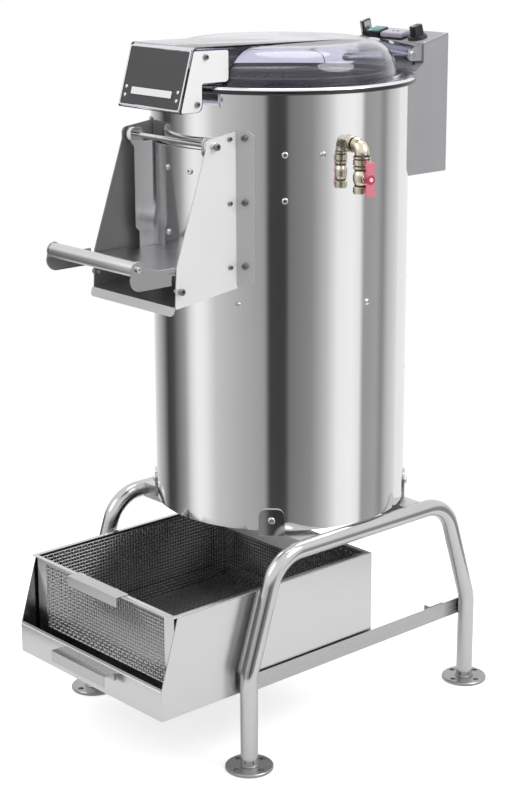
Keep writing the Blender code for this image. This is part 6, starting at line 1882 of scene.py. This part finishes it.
@dataclass
class ControlBox:
    """The grey housing behind the drum, with its sloping panel and controls."""

    front: Vector = field(default_factory=lambda: Vector((0, 0.270, 1.1835)))
    rear: Vector = field(default_factory=lambda: Vector((0, 0.334, 1.1990)))
    plate: float = 0.002
    setback: float = 0.022

    def build(self) -> None:
        """Makes the box and its controls."""
        dress("control_box", BOX_PAINT, 0.0016)
        dress("control_panel", BOX_PAINT, 0.0006)
        self.selector()
        self.button("start_button", "start", -0.0480, 0.0150, 0.013, TEAL)
        self.button("stop_button", "stop", -0.001, 0.0265, 0.011, PALE)
        self.timer()
        self.screws()

    def slope(self, x: float, height: float = 0.0, setback: float = 0.022) -> Matrix:
        """The frame of a control on the panel, with Z off it.

        Args:
            x: Along the panel.
            height: Over its plate.
            setback: From its front edge.

        Returns:
            The 4 by 4 matrix.
        """
        back = (self.rear - self.front).normalized()
        up = Vector((0, -back.z, back.y))
        spot = self.front + back * setback + up * (self.plate + height) + Vector((x, 0, 0))
        return Matrix.Translation(spot) @ Matrix.Rotation(math.atan2(back.z, back.y), 4, "X")

    def selector(self) -> None:
        """Makes the lever switch on its bezel."""
        made = Blank().turn(fillet([(0, 0), (0.0095, 0), (0.0095, 0.007), (0, 0.007)], [0, 0, 0.0015, 0]), 40)
        lever = Blank().plate(fillet(box_outline((-0.0045, -0.012), (0.0045, 0.012)), [0.004] * 4), 0.0035, 0.0274)
        made.add(lever.soften(0.001, 2))
        set_piece(made.move(self.slope(-0.0765, GAP)), "selector_lever", BLACK, "selector", ["selector_knob"])
        mark = Blank().plate(box_outline((-0.0008, -0.0105), (0.0008, -0.001)), 0.0273, 0.0276)
        mark.plate(box_outline((-0.0020, -0.0124), (0.0020, -0.0118)), 0.0070, 0.0256)
        mark.plate(box_outline((0.0043, -0.0080), (0.0047, 0.0080)), 0.0070, 0.0256)
        set_piece(mark.move(self.slope(-0.0765, GAP)), "selector_mark", HEM_STEEL, "selector")

    def button(self, node: str, body: str, x: float, half: float, height: float, finish: Finish) -> None:
        """Makes a square push button.

        Args:
            node: The solid that it stands for.
            body: The body that it rides on.
            x: Along the panel.
            half: Half its width.
            height: Its top over the panel.
            finish: Its colour.
        """
        cap = Blank().plate(fillet(box_outline((-half, -0.015), (half, 0.015)), [0.002] * 4), 0.003, height - 0.0012)
        cap.soften(0.0008, 3)
        cap.add(Blank().plate(circle(0.005, 24), 0, 0.005))
        set_piece(cap.move(self.slope(x, GAP)), node.replace("button", "cap"), BLACK if half < 0.02 else finish, body,
                  [node])
        face = Blank().plate(fillet(box_outline((-half + 0.001, -0.014), (half - 0.001, 0.014)), [0.002] * 4),
                             height - 0.0022, height).soften(0.0006, 2)
        set_piece(face.move(self.slope(x, GAP)), node.replace("button", "face"), finish, body)
        if half > 0.02:
            dots = Blank()
            for place in (-0.006, 0.006):
                dots.plate(circle(0.0022, 20, (place, 0)), height - 0.0002, height + 0.0003)
            set_piece(dots.move(self.slope(x, GAP)), "stop_cap_dots", MARK, body)
        skirt = Blank().plate(fillet(box_outline((-half - 0.0020, -0.0170), (half + 0.0020, 0.0170)), [0.003] * 4),
                              0.0, 0.0022)
        hole = Blank().plate(box_outline((-half - 0.0004, -0.0154), (half + 0.0004, 0.0154)), -0.01, 0.01)
        set_piece(skirt.carve(hole).move(self.slope(x)), node.replace("button", "bezel"), BLACK, bevel=0.0004)

    def timer(self) -> None:
        """Makes the timer's dial knob with its grip and mark."""
        made = Blank().turn(fillet([(0, 0), (0.018, 0), (0.0168, 0.006), (0, 0.006)], [0, 0, 0.001, 0]), 56)
        grip = Blank().turn([(0, 0.003), (0.013, 0.003), (0.0118, 0.024), (0, 0.024)], 56)
        for side in HALVES:
            low, high = sorted((side * 0.0075, side * 0.03))
            grip.carve(Blank().plate(box_outline((low, -0.03), (high, 0.03)), 0.0072, 0.05))
        made.add(grip.soften(0.0008, 2))
        set_piece(made.move(self.slope(0.0520, GAP)), "timer_dial", BLACK, "timer", ["timer_knob"])
        mark = Blank().plate(box_outline((-0.0008, -0.0110), (0.0008, -0.001)), 0.0239, 0.0242)
        set_piece(mark.move(self.slope(0.0520, GAP)), "timer_mark", NYLON, "timer")
        ticks = Blank()
        for i in range(13):
            angle = math.radians(-135 + 270 * i / 12)
            tick = Blank().plate(box_outline((-0.0004, 0.0), (0.0004, 0.0022 if i % 3 else 0.0032)), 0.0, 0.0002)
            ticks.add(tick, Matrix.Rotation(-angle, 4, "Z") @ Matrix.Translation((0, 0.0188, 0)))
        set_piece(ticks.move(self.slope(0.0520, 0.00005)), "timer_ticks", NYLON)

    def screws(self) -> None:
        """Sets the panel's screws."""
        spots = []
        for x in (-0.082, 0.082):
            for setback in (0.006, 0.059):
                matrix = self.slope(x, 0, setback)
                spots.append((matrix.translation.copy(), matrix.to_3x3() @ Vector((0, 0, 1))))
        set_piece(screws(spots, Head.DOME, 0.0026), "panel_screws", BOLT_STEEL)


# Water inlet

@dataclass
class WaterInlet:
    """Brass elbow, ball valve and butterfly handle at the drum's side."""

    azimuth: float = math.radians(78.5)
    drum: float = 0.225
    column: float = 0.262
    z: float = 1.0490
    top: float = 1.0227
    foot: float = 0.9707
    collar: float = 0.0150
    bend: float = 0.0139

    def build(self) -> None:
        """Makes the inlet."""
        self.place = Matrix.Rotation(self.azimuth - math.pi / 2, 4, "Z")
        self.elbow()
        self.body()
        self.handle()

    def nut(self, radius: float, low: float, high: float) -> Blank:
        """A six-sided collar with turned-down corners.

        Args:
            radius: Across its corners.
            low: Its foot.
            high: Its top.

        Returns:
            The blank, on the Z axis.
        """
        trim = Blank().turn([(0, low), (radius * 0.93, low), (radius, low + 0.0012), (radius, high - 0.0012),
                             (radius * 0.93, high), (0, high)], 48)
        return Blank().plate(circle(radius, 6), low, high).carve(trim, "INTERSECT")

    def elbow(self) -> None:
        """Makes the nipple, its collar and the bend."""
        made = Blank()
        side = Blank().plate(circle(0.0105, 32), self.drum - 0.010, self.drum + 0.016)
        side.add(self.nut(self.collar, self.drum + GAP, self.drum + 0.0093))
        side.add(Blank().turn([(0, self.drum + 0.0095), (0.0135, self.drum + 0.0095), (0.0135, self.drum + 0.0160),
                               (0, self.drum + 0.0160)], 40))
        made.add(side, Matrix.Translation((0, 0, self.z)) @ Matrix.Rotation(math.pi / 2, 4, "Y"))
        reach = 0.0145
        path = [Vector((self.column - reach + reach * math.sin(t * math.pi / 24), 0,
                        self.z - reach + reach * math.cos(t * math.pi / 24))) for t in range(13)]
        made.pipe([Vector((self.column - reach - 0.003, 0, self.z))] + path, self.bend * 0.88, 36)
        foot = self.z - 0.026
        rings = [(0, foot), (self.collar, foot), (self.collar, foot + 0.0036), (0.0128, foot + 0.0042),
                 (0.0128, foot + 0.0056), (0.0146, foot + 0.0062), (0.0146, foot + 0.0090), (0, foot + 0.0090)]
        made.turn(rings, 48, (self.column, 0))
        set_piece(made.move(self.place), "brass_elbow", BRASS, stands_for=["inlet_elbow"], bevel=0.0003)
        grooves = Blank()
        for low, high, radius in ((foot - 0.0008, foot + 0.0008, 0.0146), (foot + 0.0038, foot + 0.0060, 0.0131),
                                  (foot + 0.0088, foot + 0.0100, 0.0136)):
            grooves.turn([(0.010, low), (radius, low), (radius, high), (0.010, high)], 48, (self.column, 0))
        set_piece(grooves.move(self.place), "elbow_grooves", BRASS_DARK)

    def body(self) -> None:
        """Makes the valve's ringed body with its stem boss and hose end."""
        top, foot = self.top, self.foot
        middle = (top + foot) / 2
        profile = [(0, top), (0.0149, top), (0.0149, top - 0.0045), (0.0128, top - 0.0052), (0.0128, top - 0.0066),
                   (0.0149, top - 0.0074), (0.0149, top - 0.0105), (0.0120, top - 0.0115), (0.0120, top - 0.0145)]
        for i in range(9):
            angle = math.radians(70 - 140 * i / 8)
            profile.append((0.0150 * math.cos(angle) * 0.2 + 0.0120, middle + 0.0098 * math.sin(angle)))
        profile += [(0.0120, foot + 0.0150), (0.0120, foot + 0.0125), (0.0142, foot + 0.0115), (0.0150, foot + 0.0030),
                    (0.0138, foot), (0.0065, foot), (0.0065, foot + 0.015), (0, foot + 0.015)]
        made = Blank().turn(profile, 56, (self.column, 0))
        boss = Blank().turn([(0, 0.008), (0.0080, 0.008), (0.0080, 0.0155), (0.0062, 0.0160), (0.0062, 0.0195),
                             (0, 0.0195)], 32)
        made.add(boss, Matrix.Translation((self.column, 0, middle)) @ Matrix.Rotation(math.pi / 2, 4, "Y"))
        set_piece(made.move(self.place), "ball_valve", BRASS, stands_for=["valve_body"], bevel=0.0003)
        grooves = Blank()
        for low, high, radius in ((top - 0.0070, top - 0.0048, 0.0131), (top - 0.0140, top - 0.0112, 0.0124),
                                  (foot + 0.0122, foot + 0.0148, 0.0124)):
            grooves.turn([(0.009, low), (radius, low), (radius, high), (0.009, high)], 48, (self.column, 0))
        set_piece(grooves.move(self.place), "valve_grooves", BRASS_DARK)

    def handle(self) -> None:
        """Makes the dipped butterfly handle and its screw."""
        face = self.column + 0.0195 + GAP
        middle = (self.top + self.foot) / 2
        span, wide, waist = 0.029, 0.0105, 0.0060
        outline = fillet([(-wide, -span), (wide, -span), (waist, 0), (wide, span), (-wide, span), (-waist, 0)],
                         [0.0065, 0.0065, waist, 0.0065, 0.0065, waist])
        wings = Blank().plate([(y, z + middle) for y, z in outline], face + 0.003, face + 0.0072, Axis.X)
        wings.soften(0.0012, 3)
        set_piece(wings.move(self.place), "butterfly_handle", ROSE, "water_handle", ["valve_handle"])
        hub = Blank().turn(fillet([(0, 0), (0.0085, 0), (0.0085, 0.008), (0, 0.008)], [0, 0, 0.002, 0]), 36)
        hub.move(Matrix.Translation((face, 0, middle)) @ Matrix.Rotation(math.pi / 2, 4, "Y"))
        set_piece(hub.move(self.place), "handle_hub", CRIMSON, "water_handle")
        spot = self.place @ Vector((face + 0.0078, 0, middle))
        set_piece(screws([(spot, self.place.to_3x3() @ Vector((1, 0, 0)))], Head.DOME, 0.0034), "handle_screw",
                  NYLON, "water_handle")


def main() -> None:
    """Builds the studio and each sub-assembly in order."""
    logging.basicConfig(level=logging.INFO, format="%(name)s: %(message)s")
    for assembly in (Studio(), Stand(), Tray(), Basket(), Drum(), Chamber(), Chute(), Door(), Lid(),
                     ControlBox(), WaterInlet()):
        assembly.build()
        LOG.info("%s done", type(assembly).__name__)


if __name__ == "__main__":
    main()
